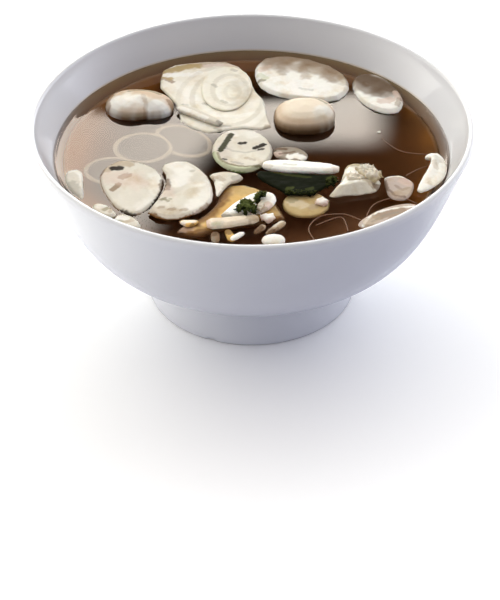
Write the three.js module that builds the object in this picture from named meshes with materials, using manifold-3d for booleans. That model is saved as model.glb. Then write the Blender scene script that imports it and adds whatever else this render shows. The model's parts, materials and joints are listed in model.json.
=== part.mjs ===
// Miso soup in a white porcelain bowl. Mushroom slices, two button mushrooms, leek and courgette
// slices, a green leaf and curly herbs float on a clear brown broth.
// Millimetres, +Z up. The origin is the middle of the ring that the bowl stands on.
import * as THREE from 'three';
import { mergeVertices } from 'three/addons/utils/BufferGeometryUtils.js';
import Module from 'manifold-3d';

const wasm = await Module();
wasm.setup();

// ---------------------------------------------------------------- driving dimensions
// The bowl.
const RIM_RADIUS = 80;
const BOWL_HEIGHT = 73.3;
const LIP_WIDTH = 2.5;
const FLOOR_HEIGHT = 16.5;
const FOOT_RADIUS = 39.5;
const FOOT_TOP_RADIUS = 37.4;
const FOOT_HEIGHT = 15;
const FOOT_RING_WIDTH = 5;
const FOOT_RECESS = 3;
const FOOT_CHAMFER = 0.8;

// How far the wall's curves reach out from their ends before they turn.
const OUTER_FROM_FOOT = [30.5, 16];
const OUTER_FROM_RIM = [-13, -35.5];
const INNER_FROM_RIM = [-16, -33];
const INNER_FROM_FLOOR = 46;

// A small chip out of the foot's bottom edge: its direction and its half sizes.
const CHIP_DEGREES = 248;
const CHIP_HALF = [2.4, 0.8, 1.2];

// The broth, and the gap that every solid keeps to its neighbour: more of it round cut corners
// and past the ends of strips.
const BROTH_LEVEL = 60.4;
const GAP = 0.3;
const CORNER_SPARE = 1.5;
const END_SPARE = 2;

// How slices and strips are rounded: the share of a slice's thickness that its edge takes up,
// where a bumpy face has its inner ring, and how far a strip narrows at its two ends.
const EDGE_SHARE = 0.35;
const INNER_RING = 0.55;
const END_TAPER = 0.62;

// How closely the small bumps of a face follow each other along X and Y, in radians a millimetre.
const BUMP_X = 0.55;
const BUMP_Y = 0.47;

// How finely round forms are divided.
const BOWL_SEGMENTS = 52;
const WALL_STEPS = 10;
const BROTH_STEPS = 7;
const PIECE_SIDES = 24;
const CHIP_SIDES = 14;

// ---------------------------------------------------------------- small helpers
const flat = (x, y) => new THREE.Vector2(x, y);
const radians = THREE.MathUtils.degToRad;

/** A point turned about the origin and moved to a centre. */
function turnedTo(centre, x, y, degrees) {
  const angle = radians(degrees);
  return flat(
    centre[0] + x * Math.cos(angle) - y * Math.sin(angle),
    centre[1] + x * Math.sin(angle) + y * Math.cos(angle),
  );
}

/** The manifold solid of a closed geometry. */
function solidOf(geometry) {
  const bare = geometry.clone();
  bare.deleteAttribute('normal');
  bare.deleteAttribute('uv');
  const merged = mergeVertices(bare, 1e-4);
  return new wasm.Manifold(new wasm.Mesh({
    numProp: 3,
    vertProperties: new Float32Array(merged.getAttribute('position').array),
    triVerts: new Uint32Array(merged.getIndex().array),
  }));
}

/** The geometry of a manifold solid. */
function geometryOf(solid) {
  const mesh = solid.getMesh();
  const geometry = new THREE.BufferGeometry();
  geometry.setAttribute('position', new THREE.BufferAttribute(mesh.vertProperties, 3));
  geometry.setIndex(new THREE.BufferAttribute(mesh.triVerts, 1));
  geometry.computeVertexNormals();
  return geometry;
}

/** A profile turned about the vertical axis. */
function turned(profile) {
  const geometry = new THREE.LatheGeometry(profile, BOWL_SEGMENTS);
  geometry.rotateX(Math.PI / 2);
  return geometry;
}

// ---------------------------------------------------------------- bowl
const LIP_CENTRE = flat(RIM_RADIUS - LIP_WIDTH / 2, BOWL_HEIGHT - LIP_WIDTH / 2);

/** The wall's outside, from the top of the foot to the rim. */
function outerWall() {
  const foot = flat(FOOT_TOP_RADIUS + 0.6, FOOT_HEIGHT + 0.5);
  const rim = flat(RIM_RADIUS, LIP_CENTRE.y);
  return new THREE.CubicBezierCurve(
    foot,
    foot.clone().add(flat(...OUTER_FROM_FOOT)),
    rim.clone().add(flat(...OUTER_FROM_RIM)),
    rim,
  );
}

/** The wall's inside, from the rim down to the middle of the floor. */
function innerWall() {
  const rim = flat(RIM_RADIUS - LIP_WIDTH, LIP_CENTRE.y);
  return new THREE.CubicBezierCurve(
    rim,
    rim.clone().add(flat(...INNER_FROM_RIM)),
    flat(INNER_FROM_FLOOR, FLOOR_HEIGHT),
    flat(0, FLOOR_HEIGHT),
  );
}

/** The foot ring's profile, from the middle of its underside to the top of the foot. */
function footProfile() {
  const ringInside = FOOT_RADIUS - FOOT_RING_WIDTH;
  return [
    flat(0, FOOT_RECESS),
    flat(ringInside - 2, FOOT_RECESS),
    flat(ringInside, 0),
    flat(FOOT_RADIUS - FOOT_CHAMFER, 0),
    flat(FOOT_RADIUS, FOOT_CHAMFER),
    flat(FOOT_TOP_RADIUS + 0.5, FOOT_HEIGHT * 0.55),
    flat(FOOT_TOP_RADIUS, FOOT_HEIGHT * 0.85),
  ];
}

function bowlGeometry() {
  const lipArc = [45, 90, 135].map((degrees) => flat(
    LIP_CENTRE.x + (Math.cos(radians(degrees)) * LIP_WIDTH) / 2,
    LIP_CENTRE.y + (Math.sin(radians(degrees)) * LIP_WIDTH) / 2,
  ));
  const whole = turned([
    ...footProfile(),
    ...outerWall().getSpacedPoints(WALL_STEPS),
    ...lipArc,
    ...innerWall().getSpacedPoints(WALL_STEPS),
  ]);
  const chip = new THREE.SphereGeometry(1, 10, 6);
  chip.scale(...CHIP_HALF);
  chip.rotateZ(radians(CHIP_DEGREES - 90));
  const place = turnedTo([0, 0], FOOT_RADIUS, 0, CHIP_DEGREES);
  chip.translate(place.x, place.y, 0);
  return geometryOf(solidOf(whole).subtract(solidOf(chip)));
}

// ---------------------------------------------------------------- broth
/** The inside radius of the bowl at a height, found by halving. */
function innerRadiusAt(height) {
  const wall = innerWall();
  let low = 0;
  let high = 1;
  for (let step = 0; step < 40; step += 1) {
    const middle = (low + high) / 2;
    if (wall.getPoint(middle).y > height) low = middle;
    else high = middle;
  }
  return wall.getPoint(low).x;
}

/** The soup's body: it fills the bowl to its level, a gap inside the wall. */
function brothGeometry() {
  const profile = [flat(0, FLOOR_HEIGHT + GAP)];
  const depth = BROTH_LEVEL - FLOOR_HEIGHT - 2 * GAP;
  for (let step = 0; step <= BROTH_STEPS; step += 1) {
    const height = FLOOR_HEIGHT + 2 * GAP + depth * (1 - (1 - step / BROTH_STEPS) ** 1.3);
    profile.push(flat(innerRadiusAt(height - GAP) - GAP, height));
  }
  profile.push(flat(0, BROTH_LEVEL));
  return turned(profile);
}

// ---------------------------------------------------------------- forms of the pieces
/** A closed body from a top point, rings of equal length going down, and a bottom point. */
function ringBody(top, rings, bottom) {
  const sides = rings[0].length;
  const points = [top, ...rings.flat(), bottom];
  const at = (ring, side) => 1 + ring * sides + (side % sides);
  const index = [];
  for (let side = 0; side < sides; side += 1) {
    index.push(0, at(0, side), at(0, side + 1));
    for (let ring = 0; ring + 1 < rings.length; ring += 1) {
      index.push(at(ring, side), at(ring + 1, side), at(ring + 1, side + 1));
      index.push(at(ring, side), at(ring + 1, side + 1), at(ring, side + 1));
    }
    index.push(points.length - 1, at(rings.length - 1, side + 1), at(rings.length - 1, side));
  }
  const geometry = new THREE.BufferGeometry();
  const coordinates = points.flatMap((point) => [point.x, point.y, point.z]);
  geometry.setAttribute('position', new THREE.Float32BufferAttribute(coordinates, 3));
  geometry.setIndex(index);
  geometry.computeVertexNormals();
  return geometry;
}

/** The rim of an oval slice, uneven by a few slow waves. */
function ovalOutline({ centre, half, turn = 0, uneven = 0.012, seed, sides = PIECE_SIDES }, grow) {
  const outline = [];
  for (let side = 0; side < sides; side += 1) {
    const angle = (side / sides) * Math.PI * 2;
    const wave = 1 + uneven * (Math.sin(3 * angle + seed) + 0.7 * Math.sin(5 * angle + 2.3 * seed));
    const x = (half[0] * wave + grow) * Math.cos(angle);
    const y = (half[1] * wave + grow) * Math.sin(angle);
    outline.push(turnedTo(centre, x, y, turn));
  }
  return outline;
}

/** The rim of a cut piece: a smooth closed curve through its corners, listed clockwise. */
function cornerOutline({ corners, tension = 0.35 }, grow) {
  const loop = corners.map(([x, y]) => new THREE.Vector3(x, y, 0)).reverse();
  const curve = new THREE.CatmullRomCurve3(loop, true, 'catmullrom', tension);
  const points = curve.getSpacedPoints(PIECE_SIDES).slice(0, PIECE_SIDES);
  return points.map((point, index) => {
    const before = points.at(index - 1);
    const after = points[(index + 1) % PIECE_SIDES];
    const outward = flat(after.y - before.y, before.x - after.x).setLength(CORNER_SPARE * grow);
    return outward.add(flat(point.x, point.y));
  });
}

/**
 * A thin slice with a rounded edge, or with `grow` the plain hollow that it needs in the broth.
 * `lift` is how high the middle of its upper face is above the broth, `rise` its slope along
 * X and Y, and `bumps` how uneven its two faces are. Both faces are split into triangles alike.
 */
function slice(spec, grow = 0) {
  const { centre, lift, thickness, rise = [0, 0], bumps = 0, seed } = spec;
  const outline = spec.corners ? cornerOutline(spec, grow) : ovalOutline(spec, grow);
  const spare = grow ? grow + bumps : 0;
  const face = (point, fraction, depth) => {
    const x = centre[0] + (point.x - centre[0]) * fraction;
    const y = centre[1] + (point.y - centre[1]) * fraction;
    const slope = (x - centre[0]) * rise[0] + (y - centre[1]) * rise[1];
    const bump = grow ? 0 : bumps * Math.sin(x * BUMP_X + seed) * Math.cos(y * BUMP_Y - seed);
    return new THREE.Vector3(x, y, BROTH_LEVEL + lift + slope + bump - depth);
  };
  const ring = (fraction, depth) => outline.map((point) => face(point, fraction, depth));
  const middle = flat(...centre);
  const upper = -spare;
  const lower = thickness + spare;
  const ends = [face(middle, 0, upper), face(middle, 0, lower)];
  if (grow) return ringBody(ends[0], [ring(1, upper), ring(1, lower)], ends[1]);
  const narrow = Math.min(...outline.map((point) => point.distanceTo(middle)));
  const fractions = [1 - (thickness * EDGE_SHARE) / narrow];
  if (bumps) fractions.unshift(INNER_RING);
  const rings = [
    ...fractions.map((fraction) => ring(fraction, upper)),
    ring(1, thickness / 2),
    ...fractions.reverse().map((fraction) => ring(fraction, lower)),
  ];
  return ringBody(ends[0], rings, ends[1]);
}

// The latitudes of a button's rings, in degrees.
const BUTTON_LATITUDES = [66, 46, 26, 8, -10, -32, -56];

/** A whole button mushroom: a rounded pebble, with a fold pressed into its upper front. */
function button({ centre, half, lift, turn = 0, tilt = 0, square, fold }, grow = 0) {
  const power = (value) => Math.sign(value) * Math.abs(value) ** (2 / square);
  const pressAt = (angle) => {
    if (!fold) return 0;
    const off = Math.atan2(Math.sin(angle - fold.angle), Math.cos(angle - fold.angle));
    return fold.depth * Math.exp(-((off / fold.width) ** 2));
  };
  const place = (latitude, angle) => {
    const level = radians(latitude);
    const press = pressAt(angle) * Math.cos(level);
    const reach = power(Math.cos(level)) * (1 - press / 2);
    const sink = press * Math.max(0, Math.sin(level));
    const height = power(Math.sin(level)) * (half[2] + grow) * (1 - sink);
    const x = power(Math.cos(angle)) * reach * (half[0] + grow);
    const y = power(Math.sin(angle)) * reach * (half[1] + grow);
    const spot = turnedTo(centre, x, y, turn);
    return new THREE.Vector3(spot.x, spot.y, BROTH_LEVEL + lift + height + x * tilt);
  };
  const rings = BUTTON_LATITUDES.map((latitude) => {
    const ring = [];
    for (let side = 0; side < PIECE_SIDES; side += 1) {
      ring.push(place(latitude, (side / PIECE_SIDES) * Math.PI * 2));
    }
    return ring;
  });
  return ringBody(place(90, 0), rings, place(-90, 0));
}

/** A value read from an evenly spaced list, from its first at share 0 to its last at share 1. */
function along(list, share) {
  const place = share * (list.length - 1);
  const first = Math.max(0, Math.min(Math.floor(place), list.length - 2));
  const next = Math.min(first + 1, list.length - 1);
  return THREE.MathUtils.lerp(list[first], list[next], place - first);
}

// Half of a strip's section, across and over, for each of its eight corners.
const STRIP_SECTION = [
  [1, 0.45], [1, -0.45], [0.6, -1], [-0.6, -1], [-1, -0.45], [-1, 0.45], [-0.6, 1], [0.6, 1],
];

/**
 * A strip with a rounded section, swept along a curve: a stem, a shred or a curled slice.
 * Each point of `path` is x, y and the height above the broth; `leans` tips the section.
 */
function strip({ path, widths, thickness, steps = 10, leans = [0] }, grow = 0) {
  const curve = new THREE.CatmullRomCurve3(
    path.map(([x, y, lift]) => new THREE.Vector3(x, y, BROTH_LEVEL + lift)),
  );
  const rings = [];
  for (let step = 0; step <= steps; step += 1) {
    const share = step / steps;
    const heading = curve.getTangent(share);
    const lean = radians(along(leans, share));
    const sideways = new THREE.Vector3(-heading.y, heading.x, 0).normalize();
    sideways.multiplyScalar(Math.cos(lean)).add(new THREE.Vector3(0, 0, Math.sin(lean)));
    const over = new THREE.Vector3().crossVectors(heading, sideways).normalize();
    const atEnd = step === 0 || step === steps;
    const taper = atEnd && !grow ? END_TAPER : 1;
    const width = (along(widths, share) / 2) * taper + grow;
    const depth = (thickness / 2) * taper + grow;
    rings.push(STRIP_SECTION.map(([across, above]) => curve.getPoint(share)
      .addScaledVector(sideways, across * width)
      .addScaledVector(over, above * depth)));
  }
  const start = curve.getPoint(0).addScaledVector(curve.getTangent(0), -END_SPARE * grow);
  const end = curve.getPoint(1).addScaledVector(curve.getTangent(1), END_SPARE * grow);
  return ringBody(start, rings, end);
}

// ---------------------------------------------------------------- finishes
const finish = (color, roughness) => new THREE.MeshStandardMaterial({ color, roughness, metalness: 0 });
const PORCELAIN = finish(0xf1f1f3, 0.12);
const BROTH = finish(0x4a2d1b, 0.05);
const MUSHROOM = finish(0xe8e3d6, 0.3);
const MUSHROOM_SKIN = finish(0xcbb899, 0.25);
const GOLDEN_SKIN = finish(0xa97a35, 0.3);
const LEEK = finish(0xd3cbbb, 0.25);
const COURGETTE = finish(0xd9d4b8, 0.3);
const STEM = finish(0xe9e6d2, 0.3);
const GREEN_LEAF = finish(0x24301a, 0.2);
const HERB = finish(0x2c3f1c, 0.45);

// ---------------------------------------------------------------- slices
// Oval slices: centre and half sizes seen from above, turned by degrees.
const mushroomOvals = {
  mushroom_slice_back_right: {
    centre: [48, 38.4], half: [8.1, 15.6], turn: 20, lift: 1.4, thickness: 2.6, bumps: 0.2,
    rise: [0.02, 0], seed: 4,
  },
  mushroom_slice_thin: {
    centre: [14.2, -5], half: [4.5, 6.6], turn: 66, lift: 1, thickness: 1.2, uneven: 0.03, seed: 9,
  },
  mushroom_slice_lip: {
    centre: [47.1, -43.7], half: [12.2, 4.2], turn: 31, lift: 1, thickness: 1.6, seed: 11,
  },
  mushroom_chip_left: {
    centre: [-50.9, -41], half: [5.2, 2.9], turn: -42, lift: 1.2, thickness: 1.8, uneven: 0.05,
    sides: CHIP_SIDES, seed: 13,
  },
  mushroom_chip_front: {
    centre: [-42.4, -47.6], half: [5.6, 3], turn: -38, lift: 1, thickness: 1.6, uneven: 0.05,
    sides: CHIP_SIDES, seed: 14,
  },
};

const leekOvals = {
  leek_layer_middle: {
    centre: [-9.4, 41.2], half: [9.8, 16.6], turn: -2, lift: 1.3, thickness: 0.6, seed: 6,
  },
};

const courgetteOvals = {
  courgette_slice: { centre: [-3.4, -1.9], half: [11, 14.2], turn: 3, lift: 1.1, thickness: 2.4, seed: 7 },
  courgette_slice_small: { centre: [18.8, -36], half: [8.2, 8.2], turn: -9, lift: 0.3, thickness: 2, seed: 8 },
};

// Cut slices: the corners of their outline, clockwise seen from above.
const mushroomCuts = {
  mushroom_slice_left: {
    corners: [
      [-53.8, -17.4], [-51.5, -11.6], [-46.6, -8.2], [-40.4, -9.7], [-34.6, -13.4], [-31.1, -20],
      [-31, -27.3], [-33.8, -36.7], [-39.3, -43.8], [-43, -42.6], [-47.2, -38.8], [-50.6, -31.6],
      [-53, -25.4],
    ],
    centre: [-42.4, -25], lift: 0.9, thickness: 2.4, bumps: 0.15, seed: 1,
  },
  mushroom_slice_front: {
    corners: [
      [-32.5, -13.8], [-29.4, -11.2], [-24.5, -10], [-20.4, -12.8], [-16.2, -19], [-14.1, -25.4],
      [-13.3, -31.8], [-14.2, -38], [-18.4, -43.4], [-25.9, -47.3], [-31.9, -46.6], [-35.6, -42.8],
      [-33, -36.8], [-30.6, -29.6], [-30.1, -25], [-30.3, -19.4],
    ],
    centre: [-23.6, -30], lift: 2, thickness: 2, bumps: 0.12, seed: 2,
  },
  mushroom_slice_back: {
    corners: [
      [1.8, 59.6], [5, 65], [11.3, 66.4], [23, 63.6], [32, 57.4], [37, 50], [37.4, 42],
      [34.8, 35.2], [29.7, 32.8], [18.4, 33.8], [9.5, 37], [3.6, 43], [1.4, 51.8],
    ],
    centre: [19, 50], lift: 1.4, thickness: 2.8, bumps: 0.25, seed: 3,
  },
  mushroom_shard: {
    corners: [
      [-14.9, -20.2], [-10, -18.6], [-5.5, -19.6], [-2.8, -22.1], [-4.2, -24.7], [-7.6, -26],
      [-10, -30.4], [-12, -34.6], [-12.6, -29.5], [-13.3, -24.4],
    ],
    centre: [-9.6, -23.4], lift: 2.3, thickness: 1.2, rise: [0.02, 0], seed: 15,
  },
  mushroom_slab: {
    corners: [
      [-11, -46], [-6.4, -38.9], [-0.9, -33.6], [4, -31.1], [7.5, -32.4], [8.8, -35.8],
      [7, -40.7], [3.6, -43.8], [-2.2, -45.6], [-7.4, -46.8],
    ],
    centre: [0.6, -38.6], lift: 2.5, thickness: 1.6, rise: [0, 0.03], tension: 0.2, seed: 17,
  },
  mushroom_chip_amber: {
    corners: [[-24.6, -48.2], [-18, -48], [-19.4, -50.8], [-22.4, -51.2]],
    centre: [-21, -49.6], lift: 1.8, thickness: 1.2, seed: 18,
  },
  mushroom_slice_right: {
    corners: [
      [47.2, -19.6], [52.6, -18.8], [54.8, -20.6], [57, -22.6], [57, -26.3], [55.8, -30.4], [53.2, -34],
      [49, -33.2], [47.3, -28.6],
    ],
    centre: [52.4, -26], lift: 0.8, thickness: 1.6, bumps: 0.1, seed: 10,
  },
  mushroom_slice_wall: {
    corners: [
      [-65.7, -15.6], [-62.3, -14], [-60.2, -16.9], [-59.2, -25.3], [-58.6, -33.4], [-61.3, -31],
      [-64.3, -26.2], [-66, -20.8],
    ],
    centre: [-62.3, -23], lift: 0.7, thickness: 1.6, seed: 12,
  },
};

// The broad leek layer under the round one. It reaches forward between the two whole mushrooms.
const leekCuts = {
  leek_layer_back: {
    corners: [
      [-35, 51.7], [-33, 59.5], [-20.2, 62.8], [-9.2, 63], [-3.3, 57.1], [-0.5, 48.6], [1.8, 39.5],
      [5, 33], [6, 22], [7.8, 12], [2.4, 13], [-3.4, 13.6], [-9, 12.4], [-14.6, 9.8], [-22, 13.4],
      [-27, 19.4], [-27.4, 27.7], [-31.5, 36.6], [-35, 43],
    ],
    centre: [-13, 36], lift: 0.5, thickness: 1.4, seed: 5,
  },
};

// The golden-skinned slice that carries the slab, the bar and the amber chip.
const goldenCuts = {
  golden_cap_slice: {
    corners: [
      [-10.9, -28.6], [-7.6, -24.6], [-4.1, -23.7], [0.5, -25.3], [5.1, -29.1], [8.5, -35.9],
      [11.8, -44.5], [9.4, -47], [0, -49.6], [-9, -51.8], [-14.6, -54.4], [-19.6, -56],
      [-24.8, -54], [-25.6, -50.8], [-20.4, -47.6], [-15.8, -42.6], [-12.2, -36],
    ],
    centre: [-7, -42], lift: 0.5, thickness: 2, rise: [0, 0.015], seed: 16,
  },
};

// The thick pale end of the leaf's stem.
const stemCuts = {
  stem_chunk: {
    corners: [
      [31.8, -22.5], [33, -17.4], [33.6, -13.6], [37.6, -12.7], [40.8, -13.4], [43, -18.7],
      [45.4, -23.6], [44.4, -28.3], [42, -30.6], [34.9, -31.9], [27.4, -34], [27, -32.6], [30, -28.4],
    ],
    centre: [37, -22.5], lift: 3.6, thickness: 5.2, bumps: 0.5, rise: [-0.02, 0], tension: 0.2, seed: 19,
  },
};

// The green blade of the leaf, wavy and thin.
const leafCuts = {
  green_leaf: {
    corners: [
      [1.4, -17.2], [6.4, -18], [12, -18.9], [20.8, -19.6], [30.4, -20.6], [29.2, -24],
      [26.6, -27.4], [22.8, -30.6], [19.6, -32.4], [14.4, -32.4], [10.6, -29.8], [6.6, -26],
      [2.6, -21.6],
    ],
    centre: [15, -25], lift: 1.8, thickness: 0.9, bumps: 0.25, rise: [0.01, 0], tension: 0.25, seed: 20,
  },
};

// Two curly sprigs of herb on the pale slab.
const herbOvals = {
  herb_sprig_left: {
    centre: [-1.9, -43.6], half: [4, 4.4], turn: 30, lift: 4.6, thickness: 0.9, uneven: 0.16,
    bumps: 0.4, seed: 21,
  },
  herb_sprig_right: {
    centre: [2.9, -37.4], half: [1.8, 3.6], turn: -24, lift: 4.5, thickness: 0.9, uneven: 0.16,
    bumps: 0.4, seed: 22,
  },
};

// ---------------------------------------------------------------- whole mushrooms
const buttons = {
  button_mushroom_right: {
    centre: [19.7, 19.8], half: [11.4, 9.9, 5.9], lift: 0.6, turn: 3, tilt: 0.04, square: 2.5,
  },
  button_mushroom_left: {
    centre: [-42.1, 27.9], half: [12.9, 9.2, 5], lift: 0.5, turn: -8, square: 2.3,
    fold: { angle: -1.15, width: 0.5, depth: 0.5 },
  },
};

const crumbs = {
  mushroom_crumb_front: { centre: [7.3, -58.2], half: [4, 2.4, 1.7], lift: 0.3, square: 2.1 },
};

// ---------------------------------------------------------------- strips
const mushroomStrips = {
  mushroom_stem_strip: {
    path: [[-27.6, 26.2, 1.5], [-23, 23.3, 1.6], [-17.3, 18.9, 1.6], [-11, 14.2, 1.5]],
    widths: [3.8, 4.8, 4, 3], thickness: 1.6,
  },
  mushroom_curl_right: {
    path: [
      [62.6, -8.2, 0.9], [65.8, -7.2, 1.2], [66.9, -12, 1.6], [65.8, -18, 1.7], [63, -23.6, 1.5],
      [58.6, -29.6, 0.9],
    ],
    widths: [1.8, 4, 5.8, 6.6, 6, 2.6], thickness: 1.8, leans: [0, -18, -26, -22, -10, 0], steps: 14,
  },
  stem_shred_left: {
    path: [[-12.2, -54.8, 0.9], [-12.2, -57, 0.7], [-12, -59.8, 0.4]],
    widths: [2.8, 2.8, 2.4], thickness: 1.4, steps: 5,
  },
  stem_shred_middle: {
    path: [[-8.3, -53.4, 0.9], [-7.3, -55.8, 0.6], [-6.3, -58.2, 0.2]],
    widths: [2.4, 2.6, 2.2], thickness: 1.4, steps: 5,
  },
  stem_shred_bright: {
    path: [[-6.9, -59.9, 1.9], [-4.6, -58, 2], [-2.6, -56.2, 2]],
    widths: [1.8, 2, 1.6], thickness: 1.2, steps: 5,
  },
  petal_left: {
    path: [[4.4, -50.8, 1.2], [2.8, -52.8, 0.9], [1, -54.6, 0.5]],
    widths: [2.6, 2.2, 1.2], thickness: 1.2, steps: 5,
  },
  petal_right: {
    path: [[11, -48.8, 1.3], [8.2, -52, 1.1], [4.9, -54.8, 0.6]],
    widths: [2.4, 2.8, 1.4], thickness: 1.2, steps: 6,
  },
};

const stemStrips = {
  leaf_rib: {
    path: [[4.2, -13.5, 1.4], [11.9, -14.7, 1.7], [20.8, -15.7, 1.8], [31, -17.2, 2]],
    widths: [4.4, 6.8, 6.2, 4.2], thickness: 2.4,
  },
  stem_bar: {
    path: [[-15.2, -51, 2], [-9.4, -50.4, 2.1], [-3.9, -49.4, 2.2], [2.2, -48.2, 2.3]],
    widths: [5, 4.8, 4.2, 3.4], thickness: 2.2,
  },
};

// ---------------------------------------------------------------- the object
const soup = new THREE.Group();
const garnish = new THREE.Group();
soup.add(garnish);

function addPiece(group, name, geometry, material) {
  const mesh = new THREE.Mesh(geometry, material);
  mesh.name = name;
  group.add(mesh);
}

let broth = solidOf(brothGeometry());

/** Makes each piece of a kind, and cuts the broth round those that dip into it. */
function addGarnish(pieces, make, material) {
  for (const [name, spec] of Object.entries(pieces)) {
    addPiece(garnish, name, make(spec), material);
    const hollow = solidOf(make(spec, GAP));
    if (hollow.boundingBox().min[2] < BROTH_LEVEL) broth = broth.subtract(hollow);
  }
}

addPiece(soup, 'bowl', bowlGeometry(), PORCELAIN);
addGarnish(mushroomOvals, slice, MUSHROOM);
addGarnish(mushroomCuts, slice, MUSHROOM);
addGarnish(goldenCuts, slice, GOLDEN_SKIN);
addGarnish(leekCuts, slice, LEEK);
addGarnish(leekOvals, slice, LEEK);
addGarnish(courgetteOvals, slice, COURGETTE);
addGarnish(stemCuts, slice, STEM);
addGarnish(leafCuts, slice, GREEN_LEAF);
addGarnish(herbOvals, slice, HERB);
addGarnish(buttons, button, MUSHROOM_SKIN);
addGarnish(crumbs, button, MUSHROOM);
addGarnish(mushroomStrips, strip, MUSHROOM);
addGarnish(stemStrips, strip, STEM);
addPiece(soup, 'broth', geometryOf(broth), BROTH);

export default soup;
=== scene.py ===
# %% [markdown]
# # A bowl of miso soup
#
# We dress a bowl of miso soup: white porcelain, clear brown broth, and the mushrooms, leek,
# courgette, leaf and herbs that float on it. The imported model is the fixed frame. Every piece made
# here takes the place of one of its solids, or lies in the broth, so nothing needs fitting.

# %% Load the fixed frame
import json
import math

import bpy
import numpy as np
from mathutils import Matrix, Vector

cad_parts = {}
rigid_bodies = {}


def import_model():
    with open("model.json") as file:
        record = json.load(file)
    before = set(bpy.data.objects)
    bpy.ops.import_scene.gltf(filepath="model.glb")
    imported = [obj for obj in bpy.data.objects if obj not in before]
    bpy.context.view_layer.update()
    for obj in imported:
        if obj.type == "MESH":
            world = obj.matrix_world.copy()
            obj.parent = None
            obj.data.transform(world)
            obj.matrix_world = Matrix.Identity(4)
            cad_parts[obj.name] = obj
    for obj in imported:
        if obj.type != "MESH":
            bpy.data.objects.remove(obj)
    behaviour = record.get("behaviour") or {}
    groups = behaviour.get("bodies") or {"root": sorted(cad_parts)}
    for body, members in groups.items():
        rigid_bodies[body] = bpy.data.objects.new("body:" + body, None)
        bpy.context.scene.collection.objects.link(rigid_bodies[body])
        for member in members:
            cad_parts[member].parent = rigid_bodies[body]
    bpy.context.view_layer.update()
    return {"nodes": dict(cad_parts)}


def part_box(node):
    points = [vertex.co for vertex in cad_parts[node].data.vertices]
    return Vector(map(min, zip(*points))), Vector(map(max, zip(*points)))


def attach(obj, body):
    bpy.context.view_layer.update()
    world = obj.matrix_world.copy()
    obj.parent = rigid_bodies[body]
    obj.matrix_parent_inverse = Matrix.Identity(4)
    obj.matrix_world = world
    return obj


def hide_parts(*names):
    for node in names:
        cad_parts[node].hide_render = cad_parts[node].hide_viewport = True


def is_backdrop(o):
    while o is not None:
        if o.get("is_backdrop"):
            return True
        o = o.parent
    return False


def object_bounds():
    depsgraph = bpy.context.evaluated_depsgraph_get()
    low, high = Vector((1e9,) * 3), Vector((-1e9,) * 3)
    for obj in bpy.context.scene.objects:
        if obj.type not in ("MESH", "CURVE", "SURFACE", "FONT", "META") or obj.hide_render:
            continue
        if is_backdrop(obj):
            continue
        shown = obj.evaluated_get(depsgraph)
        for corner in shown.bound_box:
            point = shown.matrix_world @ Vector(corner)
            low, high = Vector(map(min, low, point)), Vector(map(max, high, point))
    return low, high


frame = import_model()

MM = 0.001
print("the frame has", len(frame["nodes"]), "solids")

# %% [markdown]
# ## Working habits
#
# An operator acts on whatever is selected, and the loaded solids start out selected. So each step
# first clears the selection, then picks its own object. Modifiers are applied as soon as they are
# set, because a finished piece is plain mesh. Every new body is cleaned the same way: doubled
# vertices are merged, and all faces are turned outwards.

# %% Selecting, applying and cleaning
DOUBLES = 0.01 * MM


def pick(piece):
    """Makes a piece the only selected object, and the active one."""
    bpy.ops.object.select_all(action="DESELECT")
    piece.select_set(True)
    bpy.context.view_layer.objects.active = piece


def fresh(name):
    """Names the primitive that was just added, and returns it."""
    piece = bpy.context.active_object
    piece.name = name
    piece.data.name = name
    return piece


def apply_modifier(piece, kind, **settings):
    """Adds one modifier, sets it and applies it."""
    pick(piece)
    modifier = piece.modifiers.new(kind.title(), kind)
    for key, value in settings.items():
        setattr(modifier, key, value)
    bpy.ops.object.modifier_apply(modifier=modifier.name)


def clean_mesh(threshold=DOUBLES):
    """Merges the active piece's doubled vertices and turns its faces outwards."""
    bpy.ops.object.mode_set(mode="EDIT")
    bpy.ops.mesh.select_all(action="SELECT")
    if threshold:
        bpy.ops.mesh.remove_doubles(threshold=threshold)
    bpy.ops.mesh.normals_make_consistent(inside=False)
    bpy.ops.object.mode_set(mode="OBJECT")


print("vertices closer than", DOUBLES / MM, "mm count as doubled")

# %% [markdown]
# Numpy moves many vertices at once. These two helpers read a piece's vertices into an array, one
# row each, and write them back.

# %% Reading and moving vertices
def coordinates(piece):
    """The places of a piece's vertices, one row each."""
    places = np.empty(len(piece.data.vertices) * 3, np.float32)
    piece.data.vertices.foreach_get("co", places)
    return places.reshape(-1, 3).astype(float)


def set_coordinates(piece, places):
    """Puts a piece's vertices at new places."""
    piece.data.vertices.foreach_set("co", np.asarray(places, np.float32).ravel())
    piece.data.update()


print("the bowl's solid has", len(coordinates(bpy.data.objects["bowl"])), "vertices")

# %% [markdown]
# ## Camera
#
# A long lens looks down by 37.4 degrees, so the broth shows as a wide oval and the bowl keeps its
# full height. A shorter lens would widen the near rim.

# %% Camera
CAMERA_LENS = 102
CAMERA_SENSOR = 36
CAMERA_SIDE = -0.54 * MM
CAMERA_BACK = 524.68 * MM
CAMERA_HEIGHT = 391.75 * MM
CAMERA_DOWN = 37.37
FARTHEST_SEEN = 50

bpy.ops.object.camera_add(
    location=(CAMERA_SIDE, -CAMERA_BACK, CAMERA_HEIGHT),
    rotation=(math.radians(90 - CAMERA_DOWN), 0, 0),
)
camera = bpy.context.active_object
camera.data.lens = CAMERA_LENS
camera.data.sensor_width = CAMERA_SENSOR
camera.data.clip_end = FARTHEST_SEEN
bpy.context.scene.camera = camera
print("the camera looks down by", CAMERA_DOWN, "degrees")

# %% [markdown]
# ## Node trees
#
# The light and every material are node trees. They could be wired by hand in the shader editor.
# In code, a few helpers keep the wiring short: one empties a tree and gives ways to add and link,
# and the others add one node each to the tree that was opened last.

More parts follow.
